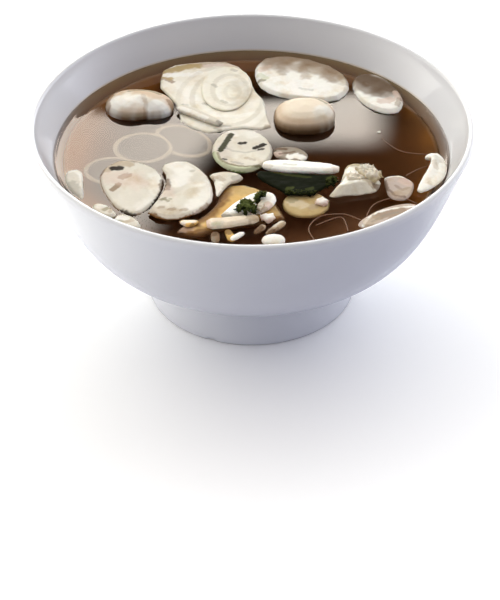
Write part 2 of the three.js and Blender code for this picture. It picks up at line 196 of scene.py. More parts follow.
# %% Building node trees
def new_nodes(tree):
    """An empty node tree, and short ways to add a node and a link."""
    tree.nodes.clear()

    def add(kind, **settings):
        node = tree.nodes.new(kind)
        for key, value in settings.items():
            setattr(node, key, value)
        return node

    def link(output, socket):
        tree.links.new(output, socket)

    return add, link


def math_node(operation, first, second, third=None):
    """A math node on sockets or plain numbers, and its output."""
    node = add("ShaderNodeMath", operation=operation)
    for socket, value in zip(node.inputs, (first, second, third)):
        if isinstance(value, (int, float)):
            socket.default_value = value
        elif value is not None:
            link(value, socket)
    return node.outputs[0]


def soft_step(value, start, end):
    """A smooth step from 0 at the start to 1 at the end."""
    node = add("ShaderNodeMapRange", interpolation_type="SMOOTHSTEP")
    node.inputs["From Min"].default_value = start
    node.inputs["From Max"].default_value = end
    link(value, node.inputs["Value"])
    return node.outputs["Result"]


def mixed(share, first, second):
    """A blend of two colours, each a socket or plain numbers, and its output."""
    node = add("ShaderNodeMix", data_type="RGBA")
    link(share, node.inputs["Factor"])
    for label, colour in (("A", first), ("B", second)):
        if isinstance(colour, tuple):
            node.inputs[label].default_value = colour
        else:
            link(colour, node.inputs[label])
    return node.outputs["Result"]


print("there are", len(bpy.data.materials), "materials before dressing")

# %% [markdown]
# ## Light
#
# A real studio hangs large cloths round the table. Area lights could stand in for them, but a
# world shader has no edges that show in the glaze. So the studio has soft walls of light: a strong
# one behind the bowl, a weaker one to the left, a dim bluish one to the right and a dark one in
# front. Each wall is a direction and a colour, and its light fades with the square of the cosine
# from that direction.

# %% The studio's walls of light
WALLS = {
    "behind": ((0, 1, 0), (4.0, 4.15, 4.0)),
    "front": ((0, -1, 0), (0.21, 0.25, 0.36)),
    "left": ((-0.9, 0.43, 0), (2.65, 2.6, 2.46)),
    "right": ((0.8, 0.6, 0), (1.45, 1.5, 1.8)),
    "above": ((0, 0, 1), (0.66, 0.6, 0.54)),
}

studio = bpy.data.worlds.new("studio")
bpy.context.scene.world = studio
studio.use_nodes = True
add, link = new_nodes(studio.node_tree)
place = add("ShaderNodeTexCoord")
total = None
for direction, colour in WALLS.values():
    facing = add("ShaderNodeVectorMath", operation="DOT_PRODUCT")
    facing.inputs[1].default_value = direction
    link(place.outputs["Generated"], facing.inputs[0])
    square = math_node("POWER", math_node("MAXIMUM", facing.outputs["Value"], 0), 2)
    wall = add("ShaderNodeVectorMath", operation="SCALE")
    wall.inputs[0].default_value = colour
    link(square, wall.inputs["Scale"])
    if total is None:
        total = wall
    else:
        both = add("ShaderNodeVectorMath", operation="ADD")
        link(total.outputs[0], both.inputs[0])
        link(wall.outputs[0], both.inputs[1])
        total = both
print("the studio has", len(WALLS), "walls of light")

# %% [markdown]
# Wet broth mirrors the upper part of the studio. Left alone, it would look milky all over. So
# mirrored light fades with height, and the soft panel made next gives the gloss instead. Behind
# everything, the backdrop is plain white.

# %% What gloss sees of the studio
MIRRORED_SHARE = 0.06
MIRRORED_FROM = (0.12, 0.4)
BACKDROP = (1, 1, 1, 1)

seen = add("ShaderNodeLightPath")
mirrored = math_node("MULTIPLY", seen.outputs["Is Glossy Ray"], seen.outputs["Is Reflection Ray"])
height = add("ShaderNodeSeparateXYZ")
link(place.outputs["Generated"], height.inputs[0])
high = soft_step(height.outputs["Z"], *MIRRORED_FROM)
share = add("ShaderNodeMapRange")
share.inputs["To Min"].default_value = 1
share.inputs["To Max"].default_value = MIRRORED_SHARE
link(math_node("MULTIPLY", mirrored, high), share.inputs["Value"])
dimmed = add("ShaderNodeVectorMath", operation="SCALE")
link(total.outputs[0], dimmed.inputs[0])
link(share.outputs[0], dimmed.inputs["Scale"])
glow = add("ShaderNodeBackground")
out = add("ShaderNodeOutputWorld")
link(mixed(seen.outputs["Is Camera Ray"], dimmed.outputs[0], BACKDROP), glow.inputs["Color"])
link(glow.outputs["Background"], out.inputs["Surface"])
print("gloss keeps", MIRRORED_SHARE, "of the light from high up")

# %% [markdown]
# One large soft panel stands behind the bowl to the left. Only gloss shows it: the broth mirrors
# it, which is what makes its left half look pale, and it gives the wet food its highlights. An
# area light would also brighten the food, so the panel is a plane that only shines in mirrors.

# %% Soft panel for the gloss
PANEL_DISTANCE = 1.2
PANEL_SIDES = (-0.6, 0.25)
PANEL_HEIGHTS = (0.3, 1.35)

bpy.ops.mesh.primitive_plane_add(
    size=1,
    location=(sum(PANEL_SIDES) / 2, PANEL_DISTANCE, sum(PANEL_HEIGHTS) / 2),
    rotation=(math.pi / 2, 0, 0),
    scale=(PANEL_SIDES[1] - PANEL_SIDES[0], PANEL_HEIGHTS[1] - PANEL_HEIGHTS[0], 1),
)
panel = fresh("soft_panel")
bpy.ops.object.transform_apply(location=True, rotation=True, scale=True)
panel.visible_camera = False
panel.visible_diffuse = False
panel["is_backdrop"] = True
print("the soft panel stands", PANEL_DISTANCE, "m behind")

# %% [markdown]
# The panel's light is two overlapping boxes, a wide one and a tall one with a slanted side. Their
# edges are soft, because the mirrored edge in broth is soft too. A painted picture could do the
# same, but soft steps on the plane's own coordinates stay sharp at any size.

# %% The shape of the panel's light
WIDE_BOX = (-0.6, 0.18, 0.3, 0.83)
TALL_BOX = (-0.6, -0.04, 0.6, 1.3)
TALL_SLANT = 0.6
TALL_SLANT_FROM = 0.842
SIDE_SOFTNESS = 0.055
TOP_SOFTNESS = 0.04
LOWEST = (0.747, 0.765)
LOWEST_SLOPE = 0.09

panel_light = bpy.data.materials.new("panel_light")
panel_light.use_nodes = True
panel.data.materials.append(panel_light)
add, link = new_nodes(panel_light.node_tree)
place = add("ShaderNodeTexCoord")
split = add("ShaderNodeSeparateXYZ")
link(place.outputs["Object"], split.inputs[0])


def soft_box(across, up, box):
    """The mask of a box of light with soft sides."""
    left, right, low, high = box
    sides = math_node(
        "MULTIPLY",
        soft_step(across, left, left + SIDE_SOFTNESS),
        soft_step(across, right, right - SIDE_SOFTNESS),
    )
    ends = math_node(
        "MULTIPLY",
        soft_step(up, low, low + TOP_SOFTNESS),
        soft_step(up, high, high - TOP_SOFTNESS),
    )
    return math_node("MULTIPLY", sides, ends)


across, up = split.outputs["X"], split.outputs["Z"]
above = math_node("SUBTRACT", up, TALL_SLANT_FROM)
slanted = math_node("MULTIPLY_ADD", above, TALL_SLANT, across)
boxes = math_node("MAXIMUM", soft_box(across, up, WIDE_BOX), soft_box(slanted, up, TALL_BOX))
sloped = math_node("MULTIPLY_ADD", across, LOWEST_SLOPE, up)
mask = math_node("MULTIPLY", boxes, soft_step(sloped, *LOWEST))
print("the light's lower edge is", LOWEST[0], "m up")

# %% [markdown]
# A real light panel is never one even colour. This one is dimmer and warmer to the left, so the
# mirrored light on the broth fades towards that side. A mix between two colours across the plane
# does that, where two panels side by side would show a seam.

# %% The panel's colour
PANEL_STRENGTH = 10.3
PANEL_LEFT_COLOUR = (0.70, 0.61, 0.53)
PANEL_RIGHT_COLOUR = (1.03, 0.94, 0.83)
BRIGHTENING = (-0.3, 0.05)

colour = mixed(soft_step(across, *BRIGHTENING), (*PANEL_LEFT_COLOUR, 1), (*PANEL_RIGHT_COLOUR, 1))
glow = add("ShaderNodeEmission")
out = add("ShaderNodeOutputMaterial")
link(colour, glow.inputs["Color"])
link(math_node("MULTIPLY", mask, PANEL_STRENGTH), glow.inputs["Strength"])
link(glow.outputs[0], out.inputs["Surface"])
print("the panel shines at", PANEL_STRENGTH)

# %% [markdown]
# ## Floor
#
# The bowl stands on a plain pale floor. A white floor is seen as white, but what it throws back
# onto the bowl differs from side to side: bright to the left and right, where the walls reach it,
# and greyer in front. The camera's rays and all other rays can be told apart, so the floor has one
# colour for each.

# %% Floor
FLOOR_SIZE = 30
FLOOR_BOUNCE = (0.37, 0.38, 0.47, 1)
FLOOR_SIDE_BOUNCE = (0.97, 0.98, 1, 1)
FLOOR_NEAR_BOUNCE = (0.78, 0.79, 0.86, 1)
FLOOR_SEEN = 1.06
RIGHTWARD = (0.8, 0.6)
LEFT_REACH = (0.02, 0.1)
RIGHT_REACH = (0.05, 0.13)
NEAR_REACH = (0.06, 0.1)

bpy.ops.mesh.primitive_plane_add(size=FLOOR_SIZE)
floor = fresh("floor")
floor_paint = bpy.data.materials.new("floor")
floor_paint.use_nodes = True
add, link = new_nodes(floor_paint.node_tree)
seen = add("ShaderNodeLightPath")
place = add("ShaderNodeTexCoord")
split = add("ShaderNodeSeparateXYZ")
link(place.outputs["Object"], split.inputs[0])
leftward = math_node("MULTIPLY", split.outputs["X"], -1)
aslant = math_node("MULTIPLY", split.outputs["X"], RIGHTWARD[0])
rightward = math_node("MULTIPLY_ADD", split.outputs["Y"], RIGHTWARD[1], aslant)
aside = math_node("MAXIMUM", soft_step(leftward, *LEFT_REACH), soft_step(rightward, *RIGHT_REACH))
bounce = mixed(aside, FLOOR_BOUNCE, FLOOR_SIDE_BOUNCE)
reach = add("ShaderNodeVectorMath", operation="LENGTH")
link(place.outputs["Object"], reach.inputs[0])
close = mixed(soft_step(reach.outputs["Value"], *NEAR_REACH), FLOOR_NEAR_BOUNCE, bounce)
paint = mixed(seen.outputs["Is Camera Ray"], close, (FLOOR_SEEN, FLOOR_SEEN, FLOOR_SEEN, 1))
matt = add("ShaderNodeBsdfDiffuse")
out = add("ShaderNodeOutputMaterial")
link(paint, matt.inputs["Color"])
link(matt.outputs[0], out.inputs["Surface"])
floor.data.materials.append(floor_paint)
floor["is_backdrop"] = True
print("the floor is", FLOOR_SIZE, "m wide")

# %% [markdown]
# The plain display transform keeps whites white. Light has to pass the broth, meet the food and
# come out again, so rays get more bounces than usual.

# %% Picture settings
BOUNCES = 12
BOUNCES_THROUGH = 8

look = bpy.context.scene
look.view_settings.view_transform = "Standard"
look.cycles.use_denoising = True
look.cycles.max_bounces = BOUNCES
look.cycles.transmission_bounces = BOUNCES_THROUGH
print("light may bounce", BOUNCES, "times")

# %% [markdown]
# ## Bowl
#
# Real bowls are thrown on a wheel, so the wall is one section spun round the middle. Two Bezier
# curves give the outside and the inside, and a half circle the lip. A sphere could be cut in two
# and thickened, but it would have no foot and its wall would be even, which thrown porcelain isn't.

# %% The wall's section
RIM_RADIUS = 80 * MM
BOWL_HEIGHT = 73.3 * MM
LIP_WIDTH = 2.5 * MM
FLOOR_HEIGHT = 16.5 * MM
FOOT_TOP_RADIUS = 37.4 * MM
FOOT_HEIGHT = 15 * MM
LIP_HEIGHT = BOWL_HEIGHT - LIP_WIDTH / 2
BROTH_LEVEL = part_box("broth")[1].z
LOWER_HANDLE = (31.1 * MM, 16.5 * MM)
UPPER_HANDLE = (13 * MM, 35.5 * MM)
INSIDE_HANDLE = (16 * MM, 33 * MM)
FLOOR_HANDLE = 46 * MM
OUTER_STEPS = 36
INNER_STEPS = 40


def bezier(points, steps):
    """Points spaced along a cubic Bezier curve in the section's plane."""
    start, first, second, end = (np.array(point) for point in points)
    made = []
    for step in range(steps + 1):
        t = step / steps
        made.append(
            start * (1 - t) ** 3
            + 3 * first * t * (1 - t) ** 2
            + 3 * second * t * t * (1 - t)
            + end * t**3
        )
    return made


OUTER_WALL = bezier(
    [
        (FOOT_TOP_RADIUS + 0.6 * MM, FOOT_HEIGHT + 0.5 * MM),
        (FOOT_TOP_RADIUS + LOWER_HANDLE[0], FOOT_HEIGHT + LOWER_HANDLE[1]),
        (RIM_RADIUS - UPPER_HANDLE[0], LIP_HEIGHT - UPPER_HANDLE[1]),
        (RIM_RADIUS, LIP_HEIGHT),
    ],
    OUTER_STEPS,
)
INNER_WALL = bezier(
    [
        (RIM_RADIUS - LIP_WIDTH, LIP_HEIGHT),
        (RIM_RADIUS - LIP_WIDTH - INSIDE_HANDLE[0], LIP_HEIGHT - INSIDE_HANDLE[1]),
        (FLOOR_HANDLE, FLOOR_HEIGHT),
        (0, FLOOR_HEIGHT),
    ],
    INNER_STEPS,
)


def inner_radius(height):
    """The bowl's inside radius at a height."""
    heights = [point[1] for point in reversed(INNER_WALL)]
    radii = [point[0] for point in reversed(INNER_WALL)]
    return float(np.interp(height, heights, radii))


print("the broth's edge is", round(inner_radius(BROTH_LEVEL) / MM, 1), "mm from the middle")

# %% [markdown]
# The foot is a ring that was turned with a tool: it leans in towards the top, its standing edge is
# rounded, and the bottom inside it is recessed. Its points are given as radius and height.

# %% The lip and the foot
LIP_STEPS = 8
FOOT_RADIUS = 39.5 * MM
FOOT_RING_WIDTH = 5 * MM
FOOT_RECESS = 3 * MM

lip_middle = RIM_RADIUS - LIP_WIDTH / 2
lip = [
    (
        lip_middle + LIP_WIDTH / 2 * math.cos(math.pi * step / LIP_STEPS),
        LIP_HEIGHT + LIP_WIDTH / 2 * math.sin(math.pi * step / LIP_STEPS),
    )
    for step in range(1, LIP_STEPS)
]
ring_inside = FOOT_RADIUS - FOOT_RING_WIDTH
foot = [
    (0, FOOT_RECESS),
    (ring_inside - 2.6 * MM, FOOT_RECESS),
    (ring_inside - 1.2 * MM, FOOT_RECESS - 0.7 * MM),
    (ring_inside - 0.4 * MM, 0.3 * MM),
    (ring_inside + 0.2 * MM, 0),
    (FOOT_RADIUS - 0.8 * MM, 0),
    (FOOT_RADIUS - 0.2 * MM, 0.25 * MM),
    (FOOT_RADIUS, 0.8 * MM),
    (FOOT_RADIUS - 0.25 * MM, 2.2 * MM),
    (FOOT_TOP_RADIUS + 1.1 * MM, 5.6 * MM),
    (FOOT_TOP_RADIUS + 0.35 * MM, 9.4 * MM),
    (FOOT_TOP_RADIUS, 12.6 * MM),
    (FOOT_TOP_RADIUS + 0.1 * MM, 14.4 * MM),
]
print("the section has", len(foot) + len(lip) + len(OUTER_WALL) + len(INNER_WALL), "points")

# %% [markdown]
# The section starts as a circle with as many vertices as it has points. Its vertices are moved
# onto the section, and the spin operator turns it once round the upright axis.

# %% Spin the section
SPIN_STEPS = 192


def spun(name, section):
    """A closed body turned about the upright axis from a section given as (radius, height)."""
    bpy.ops.mesh.primitive_circle_add(vertices=len(section), radius=RIM_RADIUS)
    piece = fresh(name)
    set_coordinates(piece, [(radius, 0, height) for radius, height in section])
    bpy.ops.object.mode_set(mode="EDIT")
    bpy.ops.mesh.select_all(action="SELECT")
    bpy.ops.mesh.spin(
        steps=SPIN_STEPS, angle=math.tau, use_auto_merge=True, center=(0, 0, 0), axis=(0, 0, 1)
    )
    bpy.ops.mesh.select_all(action="SELECT")
    bpy.ops.mesh.remove_doubles(threshold=DOUBLES)
    bpy.ops.mesh.delete_loose()
    bpy.ops.mesh.select_all(action="SELECT")
    bpy.ops.mesh.normals_make_consistent(inside=False)
    bpy.ops.object.mode_set(mode="OBJECT")
    bpy.ops.object.shade_smooth()
    return piece


bowl = spun("porcelain_bowl", [*foot, *OUTER_WALL, *lip, *INNER_WALL])
print("the bowl has", len(bowl.data.polygons), "faces")

# %% [markdown]
# The foot's standing edge has lost a small chip at the front. On porcelain a chip is a shallow
# shell-shaped hollow, so a flattened ball is placed on the edge and cut away with a boolean.

# %% The chip in the foot
CHIP_TURN = math.radians(248)
CHIP_HALF = (2.4 * MM, 0.8 * MM, 1.2 * MM)
CHIP_SEGMENTS = 24
CHIP_RINGS = 12

bpy.ops.mesh.primitive_uv_sphere_add(
    segments=CHIP_SEGMENTS,
    ring_count=CHIP_RINGS,
    radius=1,
    location=(FOOT_RADIUS * math.cos(CHIP_TURN), FOOT_RADIUS * math.sin(CHIP_TURN), 0),
    rotation=(0, 0, CHIP_TURN - math.pi / 2),
    scale=CHIP_HALF,
)
chip = fresh("foot_chip")
bpy.ops.object.transform_apply(location=True, rotation=True, scale=True)
apply_modifier(bowl, "BOOLEAN", object=chip, operation="DIFFERENCE", solver="EXACT")
bpy.data.objects.remove(chip)
pick(bowl)
clean_mesh()
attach(bowl, "root")
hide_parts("bowl")
print("with its chip, the bowl has", len(bowl.data.polygons), "faces")

# %% [markdown]
# ## Porcelain
#
# Glazed porcelain is white with a hard clear gloss. Two things break the white: a brown band round
# the waterline on the back wall, which is painted shade and a painted reflection of the broth, and
# the bare standing edge of the foot, which takes no glaze. Both could be painted on the mesh, but
# their edges follow the height, so masks made from the bowl's own coordinates are sharper. The
# band's mask leans with the wall. It would otherwise colour the outside too.

# %% Where the painted broth shade shows
BROTH_SHADE_HEIGHT = 1.3 * MM
BROTH_SHADE_DEPTH = 7 * MM
BROTH_SHADE_INTO_WALL = 1.5 * MM
BROTH_SHADE_REACH = (0.005, 0.045)
WALL_LEAN = 0.56

porcelain = bpy.data.materials.new("porcelain")
porcelain.use_nodes = True
add, link = new_nodes(porcelain.node_tree)
place = add("ShaderNodeTexCoord")
split = add("ShaderNodeSeparateXYZ")
link(place.outputs["Object"], split.inputs[0])
height = split.outputs["Z"]
flat = add("ShaderNodeVectorMath", operation="MULTIPLY")
flat.inputs[1].default_value = (1, 1, 0)
link(place.outputs["Object"], flat.inputs[0])
from_axis = add("ShaderNodeVectorMath", operation="LENGTH")
link(flat.outputs[0], from_axis.inputs[0])
leaning = math_node("MULTIPLY_ADD", height, -WALL_LEAN, from_axis.outputs["Value"])
within = inner_radius(BROTH_LEVEL) + BROTH_SHADE_INTO_WALL - WALL_LEAN * BROTH_LEVEL
above_shade_bottom = math_node("GREATER_THAN", height, BROTH_LEVEL - BROTH_SHADE_DEPTH)
on_wall = math_node("MULTIPLY", math_node("LESS_THAN", leaning, within), above_shade_bottom)
shaded = math_node("MULTIPLY", on_wall, soft_step(split.outputs["Y"], *BROTH_SHADE_REACH))
broth_shade = math_node("MULTIPLY", shaded, soft_step(height, BROTH_LEVEL + BROTH_SHADE_HEIGHT, BROTH_LEVEL))
print("the film climbs", BROTH_SHADE_HEIGHT / MM, "mm above the broth")

# %% [markdown]
# Glaze pools a little as it runs in the kiln, so its white varies very slightly. Under it all lies
# one glossy shader: the colours change from place to place, but the gloss is the same all over.

# %% Glaze, painted broth shade and bare foot
PORCELAIN_WHITE = (0.80, 0.80, 0.815)
POOLED_SHADE = 0.955
POOLING_SCALE = 30
POOLING_DETAIL = 3
BISQUE = (0.70, 0.66, 0.59)
BARE_FOOT = 0.7 * MM
BROTH_SHADE_COLOUR = (0.62, 0.45, 0.24)
GLAZE_ROUGHNESS = 0.25
GLAZE_COAT = 0.5
GLAZE_COAT_ROUGHNESS = 0.03

pooling = add("ShaderNodeTexNoise")
pooling.inputs["Scale"].default_value = POOLING_SCALE
pooling.inputs["Detail"].default_value = POOLING_DETAIL
link(place.outputs["Object"], pooling.inputs["Vector"])
pooled = tuple(POOLED_SHADE * value for value in PORCELAIN_WHITE)
glazed = mixed(pooling.outputs["Fac"], (*PORCELAIN_WHITE, 1), (*pooled, 1))
# Painted shade and a painted reflection of the broth on the back wall, round the waterline.
stained_and_shaded = mixed(broth_shade, glazed, (*BROTH_SHADE_COLOUR, 1))
footed = mixed(soft_step(height, BARE_FOOT, 0), stained_and_shaded, (*BISQUE, 1))
glaze = add("ShaderNodeBsdfPrincipled")
glaze.inputs["Roughness"].default_value = GLAZE_ROUGHNESS
glaze.inputs["Coat Weight"].default_value = GLAZE_COAT
glaze.inputs["Coat Roughness"].default_value = GLAZE_COAT_ROUGHNESS
out = add("ShaderNodeOutputMaterial")
link(footed, glaze.inputs["Base Color"])
link(glaze.outputs[0], out.inputs["Surface"])
bowl.data.materials.append(porcelain)
print("the porcelain tree has", len(porcelain.node_tree.nodes), "nodes")

# %% [markdown]
# ## Broth
#
# The broth is a clear liquid, so it is a body of its own that bends light and soaks it up on the
# way: amber where it is shallow at the wall, dark brown in the middle. A brown disc could be
# painted instead, but it would look the same at the wall and in the middle. The broth climbs the
# wall a little, and it reaches just into the porcelain so that no air gap shows.

# %% Broth's body
BROTH_RINGS = 90
WALL_CLIMB = 0.4 * MM
CLIMB_REACH = 1.6 * MM
INTO_WALL = 0.2 * MM
BELOW_SURFACE = 1 * MM

edge = inner_radius(BROTH_LEVEL)
top = []
for step in range(BROTH_RINGS + 1):
    radius = edge * step / BROTH_RINGS
    climb = WALL_CLIMB * math.exp(-(edge - radius) / CLIMB_REACH)
    top.append((radius + INTO_WALL * (step == BROTH_RINGS), BROTH_LEVEL + climb))
side = [
    (radius + INTO_WALL, height - INTO_WALL)
    for radius, height in INNER_WALL
    if height < BROTH_LEVEL - BELOW_SURFACE
]
side[-1] = (0, FLOOR_HEIGHT - INTO_WALL)
broth = spun("clear_broth", [*reversed(side), *reversed(top)])
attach(broth, "root")
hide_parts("broth")
print("the broth is", round((BROTH_LEVEL - FLOOR_HEIGHT) / MM, 1), "mm deep")

# %% [markdown]
# The surface is that of clear water with a little salt and oil, and the brown comes from the
# volume: the deeper the light goes, the more of it is soaked up, blue first.

# %% Broth's material
BROTH_DENSITY = 130
BROTH_TINT = (0.72, 0.48, 0.25)
BROTH_ROUGHNESS = 0.02
BROTH_BENDING = 1.34

liquid = bpy.data.materials.new("broth")
liquid.use_nodes = True
add, link = new_nodes(liquid.node_tree)
surface = add("ShaderNodeBsdfPrincipled")
surface.inputs["Base Color"].default_value = (1, 1, 1, 1)
surface.inputs["Roughness"].default_value = BROTH_ROUGHNESS
surface.inputs["IOR"].default_value = BROTH_BENDING
surface.inputs["Transmission Weight"].default_value = 1
soak = add("ShaderNodeVolumeAbsorption")
soak.inputs["Color"].default_value = (*BROTH_TINT, 1)
soak.inputs["Density"].default_value = BROTH_DENSITY
out = add("ShaderNodeOutputMaterial")
link(surface.outputs[0], out.inputs["Surface"])
link(soak.outputs[0], out.inputs["Volume"])
broth.data.materials.append(liquid)
print("the broth soaks up light at", BROTH_DENSITY, "per metre")

# %% [markdown]
# ## Miso cloud
#
# Miso doesn't dissolve. It hangs in the lower part of the broth as a cloud, and hides the bowl's
# bottom. Real mist could be a scattering volume, which is slow and noisy under a bending surface.
# A soft matt body looks the same through 10 mm of broth, so the cloud is spun like the bowl.

# %% Miso cloud
CLOUD_GAP = 0.5 * MM
CLOUD_TOP = 50 * MM
CLOUD_EDGE = 57 * MM
CLOUD_RINGS = 40
CLOUD_FLATNESS = 6

cloud_side = [
    (radius - CLOUD_GAP, height + CLOUD_GAP)
    for radius, height in INNER_WALL
    if height < CLOUD_EDGE
]
cloud_side[-1] = (0, cloud_side[-1][1])
cloud_radius = cloud_side[0][0]
cloud_top = []
for step in range(CLOUD_RINGS + 1):
    share = step / (CLOUD_RINGS + 1)
    rise = (cloud_side[0][1] - CLOUD_TOP) * share**CLOUD_FLATNESS
    cloud_top.append((cloud_radius * share, CLOUD_TOP + rise))
cloud = spun("miso_cloud", [*reversed(cloud_side), *reversed(cloud_top)])
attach(cloud, "root")
print("the cloud lies", round((BROTH_LEVEL - CLOUD_TOP) / MM, 1), "mm under the surface")

# %% [markdown]
# ## Food
#
# Colours are chosen on a display, so they are given in display values from 0 to 255. A
# shader works with amounts of light, and the standard display curve turns one into the other.

# %% Colours of the food
def tone(red, green, blue):
    """A colour given in display values from 0 to 255, turned into light values."""
    shares = [value / 255 for value in (red, green, blue)]
    return tuple(x / 12.92 if x < 0.04045 else ((x + 0.055) / 1.055) ** 2.4 for x in shares)


BRIGHT = tone(250, 247, 238)
WHITE = tone(238, 235, 226)
CREAM = tone(210, 203, 187)
BEIGE = tone(172, 152, 125)
TAUPE = tone(140, 116, 90)
BUTTON_BEIGE = tone(212, 190, 164)
BUTTON_TOP = tone(226, 212, 190)
UMBER = tone(98, 74, 50)
PINK = tone(206, 180, 164)
PINK_GREY = tone(184, 168, 156)
GREY = tone(140, 134, 122)
BROWN = tone(94, 64, 38)
AMBER = tone(116, 76, 32)
GOLD = tone(214, 176, 106)
YELLOW = tone(180, 156, 108)
OLIVE = tone(120, 112, 78)
OLIVE_BEIGE = tone(186, 172, 136)
THIN_GREY = tone(150, 138, 122)
PITH = tone(196, 182, 148)
DARK = tone(42, 34, 24)
DARK_OLIVE = tone(58, 58, 34)
GREEN = tone(104, 124, 64)
MINT = tone(196, 200, 166)
LEEK_GREY = tone(188, 183, 168)
LEEK_PALE = tone(230, 224, 208)
LEEK_RING = tone(188, 180, 162)
LEAF_GREEN = tone(24, 28, 14)
LEAF_BRIGHT = tone(72, 78, 36)
HERB_GREEN = tone(36, 42, 16)
HERB_LIGHT = tone(100, 110, 56)
print("mid grey is", round(tone(128, 128, 128)[0], 3), "of full light")

# %% [markdown]
# Cut mushroom is never flat, and boiled leek is limp. Two cloudy patterns give that unevenness: one
# with lumps some millimetres wide, one with fine ripples. Sculpting by hand would do it too, but a
# pattern does it the same way on thirty pieces.

# %% Lumps and ripples
def noise_pattern(name, size):
    """A cloudy pattern for displacement, with lumps of a size."""
    pattern = bpy.data.textures.new(name, "CLOUDS")
    pattern.noise_scale = size
    return pattern


LUMPS = noise_pattern("lumps", 4 * MM)
RIPPLES = noise_pattern("ripples", 1.4 * MM)
print("lumps are", round(LUMPS.noise_scale / MM, 1), "mm wide")

# %% [markdown]
# Every piece of food starts as a copy of its own solid, so it keeps its place and outline. A voxel
# remesh gives it even faces, smoothing rounds its corners and takes a little off its size, which
# a slight swelling gives back. Displacement along the two patterns then makes it uneven.

# %% Refining a solid
GROWTH = 0.12
SMOOTHING = 0.5
SLOTS = {
    "golden_cap_slice": "golden_skin",
    "button_mushroom_right": "mushroom_skin",
    "button_mushroom_left": "mushroom_skin",
    "courgette_slice": "courgette",
    "courgette_slice_small": "courgette",
    "leek_layer_back": "leek",
    "leek_layer_middle": "leek",
    "leaf_rib": "stem",
    "stem_chunk": "stem",
    "stem_bar": "stem",
    "green_leaf": "leaf",
}


def swell(piece, **settings):
    """Pushes a piece's faces outwards, evenly or along a pattern."""
    apply_modifier(piece, "DISPLACE", **settings)


def refined(node, grain=0.3, soften=3, lumps=0.12, ripples=0.02):
    """A finer, softer, slightly uneven copy of a solid that takes its place."""
    pick(bpy.data.objects[node])
    bpy.ops.object.duplicate()
    piece = fresh("fine_" + node)
    piece.data.materials.clear()
    clean_mesh()
    apply_modifier(piece, "REMESH", mode="VOXEL", voxel_size=grain * MM)
    apply_modifier(piece, "SMOOTH", factor=SMOOTHING, iterations=soften)
    swell(piece, strength=GROWTH * MM, mid_level=0)
    for pattern, strength in ((LUMPS, lumps), (RIPPLES, ripples)):
        if strength:
            swell(piece, texture=pattern, strength=strength * MM, texture_coords="LOCAL")
    bpy.ops.object.shade_smooth()
    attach(piece, "root")
    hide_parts(node)
    return piece


print(len(SLOTS), "pieces have a finish of their own, all others that of cut mushroom")

# %% [markdown]
# ## Painting the food
#
# Cut food shows gills, skins, bruises and browned edges. Blender's paint brushes need a mouse. Here
# a stroke is a line of points in millimetres, seen from above, with a colour, a radius and a
# strength, and it blends its colour into the vertices near it. Its edge is ragged, because no
# edge on cooked food is clean.

# %% The cover of a stroke
BROAD_STROKE = 1.8
BROAD_FADE = 1
FINE_FADE = 0.5
STROKE_END = 1.5
RAGGED = 0.3
NEARLY_NOTHING = 1e-12


def eased(cover):
    """Turns an even fade from 0 to 1 into a smooth one."""
    return cover * cover * (3 - 2 * cover)


def unevenness(flat):
    """A number from -1 to 1 for each place: two waves, each bent by another."""
    across, along = flat.T / MM
    wide = np.sin(2.9 * across + 1.7 * np.sin(2.3 * along))
    return 0.5 * wide + 0.5 * np.sin(3.7 * along + 1.9 * np.sin(2.7 * across))


def stroke_cover(places, points, radius):
    """How much a stroke along some points covers each place, from 0 to 1, seen from above."""
    points = [np.array(point) * MM for point in points]
    flat = places[:, :2]
    nearest = np.full(len(flat), np.inf)
    for start, end in zip(points[:-1], points[1:]):
        along = end - start
        share = ((flat - start) @ along) / max(along @ along, NEARLY_NOTHING)
        foot = start + np.clip(share, 0, 1)[:, None] * along
        nearest = np.minimum(nearest, np.linalg.norm(flat - foot, axis=1))
    fade = BROAD_FADE if radius >= BROAD_STROKE else FINE_FADE
    reach = nearest / (radius * MM) + RAGGED * unevenness(flat / max(radius, 1))
    return eased(np.clip((STROKE_END - reach) / fade, 0, 1))


test_places = np.array([[0, 0, 0], [2 * MM, 0, 0]])
print("cover near a stroke:", stroke_cover(test_places, [(0, -1), (0, 1)], 1).round(2))

# %% [markdown]
# A piece is painted in layers: a base colour, then bands by height, such as a browned underside,
# then strokes. The colours are stored on the vertices as an attribute, which shaders can read.
# Leek shows its layers as rings, so one helper gives the points of an oval stroke.

# %% Painting a piece
RING_POINTS = 25


def height_cover(places, start, end):
    """A cover that grows from 0 at one height to 1 at another."""
    return eased(np.clip((places[:, 2] - start * MM) / ((end - start) * MM), 0, 1))


def painted(piece, base, strokes=(), bands=()):
    """Stores a colour on every vertex: a base, then height bands, then strokes."""
    places = coordinates(piece)
    colours = np.tile(np.array(base), (len(places), 1))
    for colour, start, end in bands:
        cover = height_cover(places, start, end)[:, None]
        colours = colours * (1 - cover) + np.array(colour) * cover
    for colour, radius, strength, points in strokes:
        cover = stroke_cover(places, points, radius)[:, None] * strength
        colours = colours * (1 - cover) + np.array(colour) * cover
    layer = piece.data.attributes.new("paint", "FLOAT_COLOR", "POINT")
    opaque = np.column_stack([colours, np.ones(len(colours))])
    layer.data.foreach_set("color", opaque.astype(np.float32).ravel())


def ring(centre, half, turn=0):
    """Points around an oval, for a stroke that goes round."""
    turns = np.radians(np.linspace(0, 360, RING_POINTS))
    across, along = half[0] * np.cos(turns), half[1] * np.sin(turns)
    cosine, sine = math.cos(math.radians(turn)), math.sin(math.radians(turn))
    return np.column_stack([
        centre[0] + across * cosine - along * sine,
        centre[1] + across * sine + along * cosine,
    ])


print("an oval stroke has", len(ring((0, 0), (1, 1))), "points")

# %% [markdown]
# ## Wet flesh
#
# Up close, flesh is cloudy, stained in patches and finely rough. All food shares this, so it is one
# shader group: a colour goes in, and a cloudier colour and a height for the relief come out. Its
# size and contrast are set where a material uses it.

